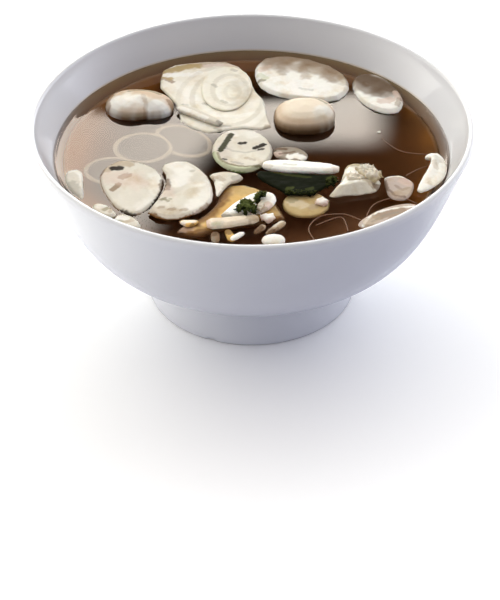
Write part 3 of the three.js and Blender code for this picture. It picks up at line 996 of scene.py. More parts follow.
# %% A group with named sockets
def new_group(name, inputs, outputs):
    """A shader group with named sockets, and short ways to add and link inside it."""
    tree = bpy.data.node_groups.new(name, "ShaderNodeTree")
    for label, kind, start in inputs:
        socket = tree.interface.new_socket(name=label, in_out="INPUT", socket_type=kind)
        if start is not None:
            socket.default_value = start
    for label, kind in outputs:
        tree.interface.new_socket(name=label, in_out="OUTPUT", socket_type=kind)
    add, link = new_nodes(tree)
    return tree, add, link, add("NodeGroupInput"), add("NodeGroupOutput")


flesh_grain, add, link, given, made = new_group(
    "flesh_grain",
    [
        ("Colour", "NodeSocketColor", None),
        ("Place", "NodeSocketVector", None),
        ("Scale", "NodeSocketFloat", 300.0),
        ("Contrast", "NodeSocketFloat", 0.1),
    ],
    [("Colour", "NodeSocketColor"), ("Height", "NodeSocketFloat")],
)
print("the group has", len(flesh_grain.nodes), "nodes so far")

# %% [markdown]
# The cloudy part is a noise that swings round its middle and makes the painted colour a little
# lighter or darker. A second noise could tint it as well, but the patches made next do that.

# %% Cloudy colour
CLOUDY_DETAIL = 4
CLOUDY_ROUGHNESS = 0.6
CLOUDY_MIDDLE = 0.5

clouds = add("ShaderNodeTexNoise")
clouds.inputs["Detail"].default_value = CLOUDY_DETAIL
clouds.inputs["Roughness"].default_value = CLOUDY_ROUGHNESS
link(given.outputs["Place"], clouds.inputs["Vector"])
link(given.outputs["Scale"], clouds.inputs["Scale"])
centred = math_node("SUBTRACT", clouds.outputs["Fac"], CLOUDY_MIDDLE)
spread = math_node("MULTIPLY_ADD", centred, given.outputs["Contrast"], 1)
tint = add("ShaderNodeVectorMath", operation="SCALE")
link(given.outputs["Colour"], tint.inputs[0])
link(spread, tint.inputs["Scale"])
print("the group has", len(flesh_grain.nodes), "nodes with its clouds")

# %% [markdown]
# Broth stains flesh in patches. Only the peaks of a broader noise take the stain, in a brown that is
# multiplied in, as a dye would be. The relief is a much finer noise, and it only tilts the surface.

# %% Stained patches and fine relief
PATCH_SIZE = 0.4
PATCH_DETAIL = 5
PATCH_ROUGHNESS = 0.65
STAINED_FROM = (0.5, 0.75)
STAIN_STRENGTH = 0.7
STAIN = (0.8, 0.68, 0.5, 1)
RELIEF_SIZE = 4
RELIEF_DETAIL = 3

patches = add("ShaderNodeTexNoise")
patches.inputs["Detail"].default_value = PATCH_DETAIL
patches.inputs["Roughness"].default_value = PATCH_ROUGHNESS
link(given.outputs["Place"], patches.inputs["Vector"])
link(math_node("MULTIPLY", given.outputs["Scale"], PATCH_SIZE), patches.inputs["Scale"])
stained_and_shaded = add("ShaderNodeMapRange")
stained_and_shaded.inputs["From Min"].default_value = STAINED_FROM[0]
stained_and_shaded.inputs["From Max"].default_value = STAINED_FROM[1]
stained_and_shaded.inputs["To Max"].default_value = STAIN_STRENGTH
link(patches.outputs["Fac"], stained_and_shaded.inputs["Value"])
stain = add("ShaderNodeMix", data_type="RGBA", blend_type="MULTIPLY")
stain.inputs["B"].default_value = STAIN
link(stained_and_shaded.outputs["Result"], stain.inputs["Factor"])
link(tint.outputs[0], stain.inputs["A"])
link(stain.outputs["Result"], made.inputs["Colour"])
fine = add("ShaderNodeTexNoise")
fine.inputs["Detail"].default_value = RELIEF_DETAIL
link(given.outputs["Place"], fine.inputs["Vector"])
link(math_node("MULTIPLY", given.outputs["Scale"], RELIEF_SIZE), fine.inputs["Scale"])
link(fine.outputs["Fac"], made.inputs["Height"])
print("the finished group has", len(flesh_grain.nodes), "nodes")

# %% [markdown]
# Every food material reads the painted colour, runs it through the group and gives it a wet look:
# a clear coat over softer flesh, and some light that goes in and comes out again. Leaf and herb are
# too thin and dark for that, so they let no light through.

# %% Food materials
COAT_ROUGHNESS = 0.08
COAT_BENDING = 1.34
RELIEF_DEPTH = 0.2 * MM
LIGHT_REACH = (1, 0.6, 0.35)
LIGHT_DEPTH = 1.5 * MM


def food_material(name, scale, contrast, roughness, coat, relief, softness, shine=0.1):
    """Wet flesh: painted colour with grain, fine relief, a clear wet coat and some light inside."""
    material = bpy.data.materials.new(name)
    material.use_nodes = True
    add, link = new_nodes(material.node_tree)
    place = add("ShaderNodeTexCoord")
    paint = add("ShaderNodeAttribute", attribute_name="paint")
    grain = add("ShaderNodeGroup")
    grain.node_tree = flesh_grain
    grain.inputs["Scale"].default_value = scale
    grain.inputs["Contrast"].default_value = contrast
    bump = add("ShaderNodeBump")
    bump.inputs["Strength"].default_value = relief
    bump.inputs["Distance"].default_value = RELIEF_DEPTH
    flesh = add("ShaderNodeBsdfPrincipled")
    flesh.inputs["Roughness"].default_value = roughness
    flesh.inputs["Coat Weight"].default_value = coat
    flesh.inputs["Coat Roughness"].default_value = COAT_ROUGHNESS
    flesh.inputs["Coat IOR"].default_value = COAT_BENDING
    flesh.inputs["Specular IOR Level"].default_value = shine
    flesh.inputs["Subsurface Weight"].default_value = softness
    flesh.inputs["Subsurface Radius"].default_value = LIGHT_REACH
    flesh.inputs["Subsurface Scale"].default_value = LIGHT_DEPTH
    out = add("ShaderNodeOutputMaterial")
    link(paint.outputs["Color"], grain.inputs["Colour"])
    link(place.outputs["Object"], grain.inputs["Place"])
    link(grain.outputs["Colour"], flesh.inputs["Base Color"])
    link(grain.outputs["Height"], bump.inputs["Height"])
    link(bump.outputs["Normal"], flesh.inputs["Normal"])
    link(flesh.outputs[0], out.inputs["Surface"])
    return material


# Scale and contrast of the grain, roughness, wet coat, relief, softness and shine.
FINISHES = {
    "mushroom": (350, 0.2, 0.5, 0.1, 0.12, 0.2, 0.1),
    "mushroom_skin": (200, 0.15, 0.4, 0.12, 0.08, 0.2, 0.1),
    "golden_skin": (260, 0.35, 0.35, 0.12, 0.12, 0.15, 0.1),
    "courgette": (420, 0.2, 0.4, 0.1, 0.1, 0.2, 0.1),
    "leek": (240, 0.25, 0.4, 0.12, 0.1, 0.25, 0.1),
    "stem": (400, 0.3, 0.45, 0.12, 0.2, 0.2, 0.1),
    "leaf": (500, 0.5, 0.5, 0.0, 0.2, 0.0, 0.02),
    "herb": (700, 0.5, 0.5, 0.0, 0.2, 0.0, 0.03),
}
MATERIALS = {name: food_material(name, *finish) for name, finish in FINISHES.items()}
print("food materials:", ", ".join(MATERIALS))

# %% [markdown]
# ## Sliced mushrooms
#
# Slices show the same things: pale flesh, a brown skin along the cap, darker gills where the cap
# meets the stem, and pink or beige bruises. They are drawn stroke by stroke, as with a brush. Each
# piece is refined, painted and given its finish by one helper.

# %% Dressing a piece
def dressed(node, base, strokes=(), bands=(), **shape):
    """A refined and painted piece with its material."""
    piece = refined(node, **shape)
    painted(piece, base, strokes, bands)
    piece.data.materials.append(MATERIALS[SLOTS.get(node, "mushroom")])
    return piece


def dressed_so_far():
    """How many pieces have taken their solid's place."""
    return len([piece for piece in bpy.data.objects if piece.name.startswith("fine_")])


print("dressed", dressed_so_far(), "pieces yet")

# %% [markdown]
# The slice at the far left shows its whole cap: the skin is a thin brown line round it. Dark
# strokes along its right and lower edges are painted shade in the gaps beside it, with some brown,
# and its side is painted darker towards the bottom.

# %% Slice at the left
dressed(
    "mushroom_slice_left",
    CREAM,
    [
        (BROWN, 0.55, 0.95, [
            (-53.4, -18.4), (-52.6, -14.8), (-51.3, -12.4), (-49.3, -10.2), (-46.9, -9.1),
            (-44.3, -9.1), (-41.8, -10.2),
        ]),
        (BROWN, 0.4, 0.8, [(-41.8, -10.2), (-38.9, -11.2), (-36.3, -12.8), (-34.0, -15.1)]),
        (BEIGE, 1.4, 0.7, [(-51.4, -15.8), (-49.1, -12.8), (-46.3, -11.5), (-43.4, -12.2)]),
        (DARK, 1.15, 1, [(-49.2, -14.8), (-46.9, -14.6)]),
        (TAUPE, 1.2, 0.7, [(-45.8, -20.6), (-43.8, -19.3)]),
        (TAUPE, 0.9, 0.9, [(-48.7, -28.6), (-47.5, -27.0), (-46.8, -25.1)]),
        (PINK, 4.2, 0.45, [(-44.0, -20.9), (-40.7, -23.5)]),
        (PINK, 2.6, 0.35, [(-50.8, -19.7), (-49.2, -22.9)]),
        (WHITE, 2.6, 0.5, [(-33.8, -19.7), (-32.2, -24.8), (-33.4, -29.8)]),
        (WHITE, 2.6, 0.4, [(-35.2, -36.1), (-37.7, -40.4)]),
        # Painted shade in the gap along the right edge, with some brown.
        (DARK, 0.8, 0.95, [
            (-30.5, -22.6), (-30.7, -27.3), (-31.7, -31.7), (-33.4, -36.7), (-35.6, -41.0),
            (-38.9, -44.6),
        ]),
        (BROWN, 1.2, 0.6, [(-30.9, -22.9), (-31.1, -26.7)]),
        # Painted shade in the dark gap below the lower edge.
        (DARK, 1.2, 0.85, [(-39.2, -44.9), (-42.4, -43.4), (-45.9, -41.3)]),
    ],
    # The side is painted darker towards the bottom.
    bands=[(TAUPE, 61, 60.6)],
)
print("dressed", dressed_so_far(), "piece")

# %% [markdown]
# The slice in front of it has an amber skin along its near edge and olive specks on its flesh. Its
# side is painted amber, then brown lower down: partly skin, partly painted shade below the slice.
# The shard beside it is torn, so its lumps are stronger.

# %% Slice at the front, and its shard
dressed(
    "mushroom_slice_front",
    CREAM,
    [
        (BROWN, 0.5, 0.85, [(-21.1, -12.9), (-19.4, -14.5), (-17.6, -17.1), (-16.1, -19.7)]),
        (OLIVE, 0.6, 0.5, [(-21.4, -18.4), (-20.7, -18.1)]),
        (BROWN, 1.0, 0.75, [(-30.1, -23.9), (-29.5, -26.4), (-29.5, -29.6)]),
        (OLIVE, 0.55, 0.7, [(-31.5, -36.2), (-31.2, -36.2)]),
        (OLIVE, 0.55, 0.7, [(-30.1, -35.5), (-29.9, -36.2)]),
        (OLIVE, 0.6, 0.6, [(-29.1, -36.8), (-28.9, -37.1)]),
        (OLIVE, 0.45, 0.6, [(-28.1, -35.8), (-27.9, -35.8)]),
        (PINK, 2.4, 0.4, [(-29.8, -30.2), (-29.0, -32.7)]),
        (BEIGE, 1.9, 0.5, [(-33.5, -42.0), (-29.3, -43.5), (-25.2, -43.8)]),
        (TAUPE, 0.7, 0.5, [(-31.5, -41.1), (-30.5, -40.8)]),
        (TAUPE, 0.7, 0.5, [(-28.0, -42.3), (-26.6, -42.0)]),
        (TAUPE, 0.7, 0.5, [(-23.9, -42.6), (-22.5, -42.3)]),
        (AMBER, 1.0, 0.9, [
            (-34.4, -44.7), (-31.9, -47.1), (-28.4, -48.6), (-24.4, -48.0), (-20.4, -45.6),
            (-17.0, -42.6), (-14.8, -39.2),
        ]),
        (BROWN, 0.7, 0.8, [
            (-34.7, -46.2), (-31.8, -48.6), (-28.4, -49.8), (-24.3, -49.2), (-20.3, -46.8),
            (-16.6, -43.5), (-14.3, -39.5),
        ]),
        (WHITE, 3, 0.6, [(-26.9, -14.9), (-23.9, -18.8), (-25.1, -25.2)]),
        (WHITE, 3, 0.5, [(-15.9, -27.7), (-16.5, -35.2), (-19.8, -40.1)]),
    ],
    # Partly skin, partly painted shade on the lower side.
    bands=[(AMBER, 61.9, 61.5), (BROWN, 61.4, 60.8)],
)
dressed(
    "mushroom_shard",
    CREAM,
    [
        (BROWN, 0.6, 0.7, [(-14.1, -23.4), (-13.4, -24.7)]),
        (BEIGE, 0.7, 0.6, [(-14.5, -22.4), (-12.5, -23.1)]),
        (BEIGE, 0.8, 0.5, [(-11.5, -22.4), (-10.0, -24.4)]),
        (BEIGE, 0.6, 0.5, [(-13.1, -29.4), (-12.0, -30.7)]),
        (GREY, 1.4, 0.5, [(-5.5, -23.1), (-3.7, -23.4)]),
        (WHITE, 1.4, 0.6, [(-11.7, -26.9), (-13.0, -33.2)]),
    ],
    lumps=0.25, ripples=0.06,
)
print("dressed", dressed_so_far(), "pieces")

# %% [markdown]
# The golden slice was cut from a cap that has soaked up the broth: dark amber skin along both
# edges, golden flesh between. A white slab and a stem bar lie on it, and stay plain so that the
# gold stands out.

# %% Golden slice, slab and bar
dressed(
    "golden_cap_slice",
    GOLD,
    [
        # A painted highlight near the far edge.
        (YELLOW, 3.0, 0.5, [(-6.5, -29), (-1.5, -28), (2.5, -31)]),
        (AMBER, 2.6, 0.85, [(-24.5, -51.6), (-19.4, -48.4), (-14.9, -43.4), (-11.4, -36.6), (-9.8, -29)]),
        (AMBER, 2.4, 0.9, [
            (-23.5, -53.2), (-19.4, -54.4), (-14.4, -53), (-9, -50.4), (0, -48.2), (9, -46),
        ]),
        (BROWN, 1.1, 0.9, [(-25.6, -50.8), (-20.4, -47.6), (-15.8, -42.6), (-12.2, -36), (-10.9, -28.6)]),
        (BROWN, 1.3, 0.9, [
            (-24.8, -54), (-19.6, -56), (-14.6, -54.4), (-9, -51.8), (0, -49.6), (9.4, -47),
        ]),
        (AMBER, 1.8, 0.7, [(6, -31), (8.6, -37), (10.8, -43.5)]),
        (BROWN, 0.9, 0.8, [(5.1, -29.1), (8.5, -35.9), (11.8, -44.5), (9.4, -47)]),
        (OLIVE, 0.9, 0.7, [(-9.5, -26.8), (-7.4, -25.2), (-4.1, -24.3), (0.5, -26)]),
        (PINK, 1.4, 0.45, [(-23.6, -51.6), (-20.9, -51)]),
        (BROWN, 1.2, 0.8, [(-8.8, -45.6), (-4, -45.8), (0.8, -44.8)]),
        (YELLOW, 1.2, 0.6, [(7.2, -39.5), (8.4, -42.8)]),
    ],
    lumps=0.25, ripples=0.05,
)
dressed(
    "mushroom_slab",
    BRIGHT,
    [
        # The cream and grey lines along the near edge are painted shade.
        (CREAM, 1.0, 0.9, [(-10.5, -44.8), (-7.4, -46.0), (-4.0, -46.3)]),
        (GREY, 0.5, 0.7, [(-10.4, -45.4), (-6.7, -46.9), (-2.9, -46.9)]),
        (PINK, 1.6, 0.7, [(3.6, -41.5), (5.6, -40.3)]),
        (BEIGE, 0.8, 0.6, [(2.2, -43.3), (4.9, -42.4)]),
        (CREAM, 2, 0.5, [(3.6, -32.9), (5.0, -36.6)]),
    ],
)
dressed(
    "stem_bar",
    BUTTON_TOP,
    [
        (LEEK_GREY, 0.8, 0.5, [(-13.0, -52.4), (-10.3, -52.1)]),
        (MINT, 0.5, 0.5, [(-12.7, -52.4), (-11.0, -52.3)]),
        (PINK, 1.0, 0.8, [(-15.3, -50.1), (-15.4, -52.1), (-14.9, -54.5)]),
        (PINK, 0.8, 0.6, [(-13.3, -55.4), (-8.6, -54.2), (-3.9, -53.0)]),
        (BEIGE, 1.2, 0.7, [(-0.5, -49.2), (2.2, -48.6)]),
    ],
    lumps=0.4, ripples=0.08,
)
print("dressed", dressed_so_far(), "pieces")

# %% [markdown]
# ## Courgette
#
# A courgette slice has a thin dark green skin, a mint line under it and cream flesh. Three strokes
# side by side along the skin give those lines, and dark short ones the folds where leaf and
# shadow lie against it.

# %% Courgette slices
dressed(
    "courgette_slice",
    CREAM,
    [
        (GREEN, 0.5, 0.9, [
            (-13.9, -4.2), (-13.3, -8.2), (-12.0, -11.5), (-9.8, -14.0), (-6.6, -15.6),
            (-3.0, -16.3), (0.9, -16.1), (4.4, -14.8),
        ]),
        (MINT, 0.8, 0.9, [
            (-13.0, -4.8), (-12.2, -8.5), (-10.9, -11.2), (-8.9, -13.0), (-5.9, -14.5),
            (-2.7, -15.1), (0.9, -14.8), (3.7, -13.7),
        ]),
        (OLIVE, 0.4, 0.8, [
            (-12.3, -4.8), (-11.5, -8.2), (-10.2, -10.5), (-8.2, -12.2), (-5.5, -13.3),
            (-2.5, -13.9), (0.5, -13.6), (3.0, -12.8),
        ]),
        (PINK_GREY, 2.4, 0.3, [(-10.7, -2.8), (-9.2, -6.9)]),
        (WHITE, 3.2, 0.5, [(-5.7, 8.8), (-2.0, 10.2), (1.7, 8.1)]),
        (LEEK_PALE, 4, 0.4, [(-4.1, -6.9), (0.2, -8.2)]),
        (GREY, 0.4, 0.35, [(-10.7, -0.1), (-7.0, -3.5), (-2.0, -4.8), (3.1, -2.8)]),
        (DARK_OLIVE, 0.9, 1, [(-11.2, -3.2), (-10.0, 0.2), (-8.6, 4.3), (-7.5, 7.4)]),
        (DARK, 0.7, 1, [(-4.2, 1.5), (-2.4, 1.8)]),
        (DARK, 0.8, 1, [(1.1, -1.8), (2.5, -0.9), (4.5, 0.6)]),
        (DARK, 0.5, 0.9, [(2.7, -2.8), (4.2, -2.3)]),
        (DARK, 0.45, 0.8, [(-10.1, -9.0), (-9.2, -9.4)]),
        (BEIGE, 0.6, 0.5, [(-2.0, -8.2), (0.9, -9.5)]),
        (GREY, 0.5, 0.4, [(-7.0, -10.8), (-3.4, -12.2)]),
    ],
    lumps=0.08, ripples=0.02,
)
dressed(
    "courgette_slice_small",
    YELLOW,
    [
        # A painted highlight.
        (LEEK_PALE, 2.2, 0.3, [(14.7, -35.8), (17.8, -37.0)]),
        (OLIVE, 1.6, 0.5, [(12.0, -31.4), (14.1, -33.9)]),
        (BEIGE, 1.2, 0.6, [(21.2, -38.6), (23.7, -36.4)]),
        (DARK, 1.6, 0.7, [(11.3, -29.6), (15.6, -28.9), (19.7, -29.6)]),
    ],
)
print("dressed", dressed_so_far(), "pieces")

# %% [markdown]
# ## Mushrooms at the back
#
# The two big slices at the back stand out of the broth. Their skin side is in the shade of the
# wall, so broad taupe and umber strokes paint that shade on, and finer ones draw the gills. A few
# pink strokes are painted highlights.

# %% Slices at the back
dressed(
    "mushroom_slice_back",
    WHITE,
    [
        # Painted shade of the wall on the skin side.
        (TAUPE, 6.0, 0.9, [(5.0, 63.9), (11.3, 65.5), (19.9, 63.9), (27.6, 60.7), (34.4, 54.4)]),
        (TAUPE, 3.2, 0.6, [(7.3, 57.6), (13.1, 57.6), (20.5, 56.0), (27.4, 52.9), (32.6, 47.5)]),
        (BEIGE, 2.4, 0.5, [(35.8, 51.3), (36.3, 45.2)]),
        (UMBER, 1.0, 0.6, [
            (1.8, 60.7), (5.0, 64.3), (11.3, 66.7), (19.2, 65.9), (26.9, 63.1), (33.8, 57.6),
            (37.3, 49.8),
        ]),
        (MINT, 1.1, 0.5, [(3.3, 50.6), (5.6, 48.3)]),
        (OLIVE, 0.7, 0.7, [(2.9, 47.1), (4.8, 46.7)]),
        (OLIVE, 0.5, 0.6, [(7.0, 35.1), (9.3, 34.7)]),
        (PINK, 1.4, 0.4, [(4.1, 54.4), (6.1, 56.8)]),
        (GREY, 0.6, 0.3, [(18.6, 40.7), (23.1, 39.2)]),
        (TAUPE, 1.9, 0.45, [(11.5, 57.6), (12.2, 52.1)]),
        (TAUPE, 1.9, 0.4, [(20.1, 55.2), (21.1, 49.0)]),
        (TAUPE, 1.9, 0.4, [(28.9, 52.1), (30.6, 46.7)]),
    ],
    ripples=0.04,
)
dressed(
    "mushroom_slice_back_right",
    WHITE,
    [
        # Painted shade of the wall on the skin side.
        (UMBER, 5.4, 0.95, [(41.3, 51.3), (45.7, 47.5), (52.1, 39.9)]),
        (UMBER, 3.0, 0.7, [(40.2, 45.2), (43.7, 39.9), (47.4, 36.9)]),
        # Painted highlights.
        (PINK, 1.6, 0.6, [(49.3, 31.0), (52.4, 31.7)]),
        (PINK, 1.4, 0.7, [(55.4, 36.9), (56.2, 33.2)]),
        (WHITE, 1.1, 0.9, [(41.8, 32.5), (45.3, 27.7), (49.7, 25.9), (53.5, 26.6)]),
        (TAUPE, 0.8, 0.5, [(55.8, 32.5), (54.8, 28.1)]),
    ],
    ripples=0.04,
)
print("dressed", dressed_so_far(), "pieces")

# %% [markdown]
# Whole buttons are smooth and pale on top. Towards the broth they are painted darker in bands by
# height, which show it better than strokes: partly stained skin, partly painted shade on the
# underside. White strokes on top are painted highlights.

# %% Whole buttons
dressed(
    "button_mushroom_right",
    BUTTON_TOP,
    [
        (OLIVE, 0.5, 0.6, [
            (6.9, 25.4), (10.3, 27.0), (14.5, 27.8), (18.9, 27.6), (23.8, 25.8), (27.8, 22.5),
        ]),
        # A painted highlight.
        (WHITE, 2.4, 0.7, [(25.3, 16.6), (27.9, 18.0)]),
        (CREAM, 3.0, 0.5, [(26.0, 14.4), (28.2, 15.9)]),
    ],
    # Partly stained skin, partly painted shade towards the broth.
    bands=[(BUTTON_BEIGE, 66.2, 64.6), (TAUPE, 64.4, 62.4), (UMBER, 62.6, 61)],
)
dressed(
    "button_mushroom_left",
    BUTTON_BEIGE,
    [
        # Painted highlights on the two lobes of the top.
        (WHITE, 4.2, 1, [(-50.2, 25.3), (-47.7, 26.0), (-44.3, 26.0)]),
        (WHITE, 2.9, 1, [(-36.7, 23.8), (-33.0, 23.1)]),
        (AMBER, 0.7, 0.25, [(-40.7, 28.7), (-39.4, 24.3), (-39.5, 20.0)]),
        (AMBER, 1.0, 0.55, [(-30.9, 27.6), (-28.9, 24.7), (-28.4, 21.1)]),
        (OLIVE, 0.6, 0.55, [(-46.2, 32.4), (-42.1, 33.1), (-38.3, 32.8), (-34.4, 30.9)]),
        (AMBER, 0.7, 0.5, [(-53.4, 24.3), (-54.0, 27.9), (-52.5, 31.6)]),
    ],
    # Partly stained skin, partly painted shade towards the broth.
    bands=[(BEIGE, 63.6, 62), (TAUPE, 62, 60.8)],
)
print("dressed", dressed_so_far(), "pieces")

# %% [markdown]
# ## Leek
#
# A boiled leek ring is soft and shines. It is smoothed more than the mushrooms are, and its layers
# are oval strokes, pale on paler. The strip of mushroom stem beside it is just as soft.

# %% Leek layers and stem strip
dressed(
    "leek_layer_back",
    LEEK_PALE,
    [
        (LEEK_PALE, 4.5, 0.6, [(-30.4, 42.4), (-26.6, 43.9), (-22.0, 42.4)]),
        (YELLOW, 2.1, 0.95, [(-33.2, 54.6), (-28.6, 57.0), (-24.0, 58.9), (-20.9, 59.3)]),
        (AMBER, 0.9, 0.6, [(-34.6, 50.0), (-32.2, 48.5), (-30.6, 46.9)]),
        (YELLOW, 1.1, 0.8, [(-34.6, 51.5), (-31.5, 49.2)]),
        (WHITE, 1.2, 0.9, [(-33.1, 51.9), (-27.7, 52.3), (-23.0, 52.3), (-20.0, 53.9)]),
        # Painted shadow of the rim across the far edge.
        (PINK, 1.8, 0.6, [(-17.8, 59.3), (-13.1, 60.9), (-7.6, 60.1), (-4.4, 58.1)]),
        (BEIGE, 1.0, 0.6, [(-19.0, 61.3), (-13.1, 62.6), (-6.8, 61.7)]),
        (GREY, 0.7, 0.6, [(-17.9, 30.5), (-16.6, 30.1)]),
        (GREY, 0.6, 0.5, [(-25.8, 29.7), (-24.3, 29.4)]),
        (WHITE, 0.9, 0.5, [(-21.1, 36.4), (-17.8, 27.6), (-12.5, 21.8), (-5.0, 21.1), (1.7, 24.7)]),
        (WHITE, 1.6, 0.4, [(-28.2, 45.4), (-25.0, 39.4), (-21.0, 32.0)]),
        (BROWN, 1.0, 0.7, [(-2.1, 59.3), (-0.5, 54.6), (1.0, 49.2)]),
        (BEIGE, 1.4, 0.6, [(6.1, 14.0), (7.6, 12.6)]),
        (OLIVE, 0.6, 0.6, [(-13.5, 12.9), (-11.6, 12.2)]),
        (GREY, 0.5, 0.5, [(-10.2, 14.7), (-7.9, 14.3)]),
        (LEEK_RING, 0.9, 0.35, ring((-9, 35), (13.6, 20), 0)),
        (WHITE, 0.9, 0.4, ring((-9.4, 34), (15.4, 22.4), 0)),
        (LEEK_RING, 0.8, 0.25, ring((-10, 33), (18, 25.5), 0)),
    ],
    soften=8, lumps=0.25, ripples=0.02,
)
dressed(
    "leek_layer_middle",
    LEEK_PALE,
    [
        (LEEK_RING, 0.8, 0.35, ring((-8.2, 39.6), (6.6, 11.4), 0)),
        (WHITE, 0.8, 0.4, ring((-7.6, 38.6), (5.0, 8.6), 0)),
        (LEEK_RING, 0.6, 0.25, ring((-7.2, 38), (2.8, 5), 0)),
        (GREY, 0.7, 0.4, [(-7.5, 54.8), (-6.0, 54.0)]),
        (GREY, 0.6, 0.4, [(-14.7, 43.3), (-13.6, 41.8)]),
        (OLIVE, 0.6, 0.35, [(-11.1, 31.3), (-9.6, 29.9)]),
        (LEEK_GREY, 3, 0.35, [(-5.1, 44.0), (-2.8, 38.0), (-4.3, 32.1)]),
    ],
    soften=8, lumps=0.2, ripples=0.02,
)
dressed(
    "mushroom_stem_strip",
    CREAM,
    [
        (WHITE, 0.8, 0.7, [(-26.7, 24.9), (-22.2, 21.7), (-16.9, 17.4)]),
        (GREY, 0.6, 0.7, [(-12.4, 14.9), (-10.9, 13.8)]),
        (DARK_OLIVE, 0.7, 0.9, [(-12.0, 11.4), (-10.5, 11.0)]),
    ],
    soften=6, lumps=0.2, ripples=0.03,
)
print("dressed", dressed_so_far(), "pieces")

# %% [markdown]
# ## Leaf and stem
#
# The cooked leaf is nearly black, with brighter green painted highlights where it folds. Its rib is
# white, and the stem chunk beside it is torn, so both get strong lumps.

# %% Leaf, rib and stem chunk
dressed(
    "leaf_rib",
    BRIGHT,
    [
        (PINK, 1.2, 0.5, [(29.9, -18.1), (32.4, -19.0)]),
        (OLIVE, 0.35, 0.3, [(11.5, -15.1), (15.8, -15.8)]),
        (CREAM, 0.8, 0.6, [(5.1, -15.1), (6.6, -15.8)]),
    ],
    lumps=0.4, ripples=0.08,
)
dressed(
    "stem_chunk",
    CREAM,
    [
        (OLIVE_BEIGE, 2.6, 0.85, [(32.1, -15.4), (35.7, -14.7), (39.2, -16.0)]),
        (BRIGHT, 2.4, 0.8, [(33.0, -19.7), (37.6, -21.0), (41.7, -22.9)]),
        (BRIGHT, 2.2, 0.6, [(28.5, -28.4), (32.8, -26.5), (36.7, -25.2)]),
        # Painted shade on the near face and underneath.
        (BEIGE, 1.2, 0.6, [(34.7, -23.3), (38.8, -24.6), (42.2, -27.1)]),
        (BROWN, 1.3, 0.7, [(43.6, -27.7), (45.4, -27.1)]),
        (UMBER, 0.8, 0.6, [(38.6, -14.7), (40.5, -18.6)]),
    ],
    soften=2, lumps=0.4, ripples=0.2,
)
dressed(
    "green_leaf",
    LEAF_GREEN,
    [
        # The bright green strokes are painted highlights.
        (LEAF_BRIGHT, 1.3, 0.8, [(27.6, -23.5), (29.8, -22.3), (30.3, -25.5)]),
        (LEAF_BRIGHT, 0.7, 0.7, [(12.7, -29.0), (14.1, -28.7)]),
        (LEAF_BRIGHT, 0.7, 0.5, [(19.7, -29.6), (21.1, -29.0)]),
        (OLIVE, 1.2, 0.6, [(-5.5, -18.0), (-2.7, -17.7)]),
        (BROWN, 0.9, 0.6, [(-1.6, -19.0), (0.9, -19.3)]),
        # A painted highlight along the edge.
        (LEAF_BRIGHT, 0.5, 0.5, [(6.6, -18.1), (13.6, -20.7), (20.6, -22.0)]),
    ],
    soften=2, lumps=0.4, ripples=0.05,
)
print("dressed", dressed_so_far(), "pieces")

# %% [markdown]
# ## Thin slices
#
# Thin slices let the broth shine through, so they are greyer than thick ones. A white line marks
# the edge that stands out of the broth. Thinning their material with transparency would show it
# too, but their painted grey looks the same and keeps the surface simple.

# %% Slices at the right
dressed(
    "mushroom_slice_right",
    PINK_GREY,
    [
        (WHITE, 0.45, 0.9, [(47.2, -20.3), (50.5, -19.5), (53.6, -20.2), (56.6, -22.1)]),
        (BROWN, 0.45, 0.6, [(47.1, -22.7), (47.8, -27.8), (50.0, -31.9), (53.0, -32.8)]),
        (PINK, 1.8, 0.6, [(53.4, -22.7), (55.0, -24.6)]),
        (BROWN, 0.5, 0.35, [(50.7, -25.9), (52.7, -28.4), (54.9, -27.2)]),
        (BEIGE, 2, 0.5, [(51.8, -30.3), (55.5, -28.4)]),
    ],
    lumps=0.25, ripples=0.06,
)
dressed(
    "mushroom_curl_right",
    WHITE,
    [
        (LEEK_GREY, 1.8, 0.45, [(66.1, -9.7), (67.1, -15.0)]),
        (BEIGE, 0.8, 0.35, [(65.0, -13.7), (65.4, -17.6)]),
        (YELLOW, 0.8, 0.35, [(62.6, -26.0), (65.3, -27.2)]),
        (BRIGHT, 1.5, 0.8, [(68.5, -15.0), (67.5, -21.5), (64.7, -25.3)]),
        # A painted highlight on the top.
        (BRIGHT, 1.0, 0.8, [(64.1, -7.8), (66.4, -6.8), (68.0, -8.4)]),
    ],
    lumps=0.3,
)
dressed(
    "mushroom_slice_lip",
    PINK_GREY,
    [
        (WHITE, 0.4, 0.9, [
            (37.9, -50.1), (40.1, -46.0), (43.4, -42.6), (47.6, -40.8), (52.5, -39.6),
            (56.0, -39.0),
        ]),
        (TAUPE, 1.6, 0.7, [(43.2, -45.4), (47.5, -43.5), (51.7, -41.7)]),
        (BEIGE, 1.4, 0.6, [(39.6, -48.9), (42.5, -46.3)]),
        (GREY, 0.3, 0.5, [(41.0, -48.4), (45.3, -44.5), (50.3, -42.6)]),
    ],
)
dressed(
    "mushroom_slice_thin",
    THIN_GREY,
    [
        (WHITE, 1.3, 0.9, [(13.9, -7.4), (16.4, -6.7), (18.2, -8.0)]),
        (DARK, 0.9, 0.8, [(5.6, -4.7), (6.7, -3.7), (8.1, -2.7)]),
        (BROWN, 0.6, 0.8, [(6.0, -3.0), (8.9, -1.9), (12.5, -2.3)]),
        (BROWN, 0.6, 0.7, [(5.9, -6.4), (8.8, -8.7), (12.4, -9.4)]),
        (PINK, 1.2, 0.6, [(8.1, -5.4), (9.9, -5.4)]),
        (BROWN, 0.5, 0.6, [(10.3, -5.4), (13.2, -4.7), (15.4, -4.0)]),
    ],
)
print("dressed", dressed_so_far(), "pieces")

# %% [markdown]
# ## Chips and shreds
#
# Small pieces are ragged all over. They need few strokes, but the strongest lumps and ripples.

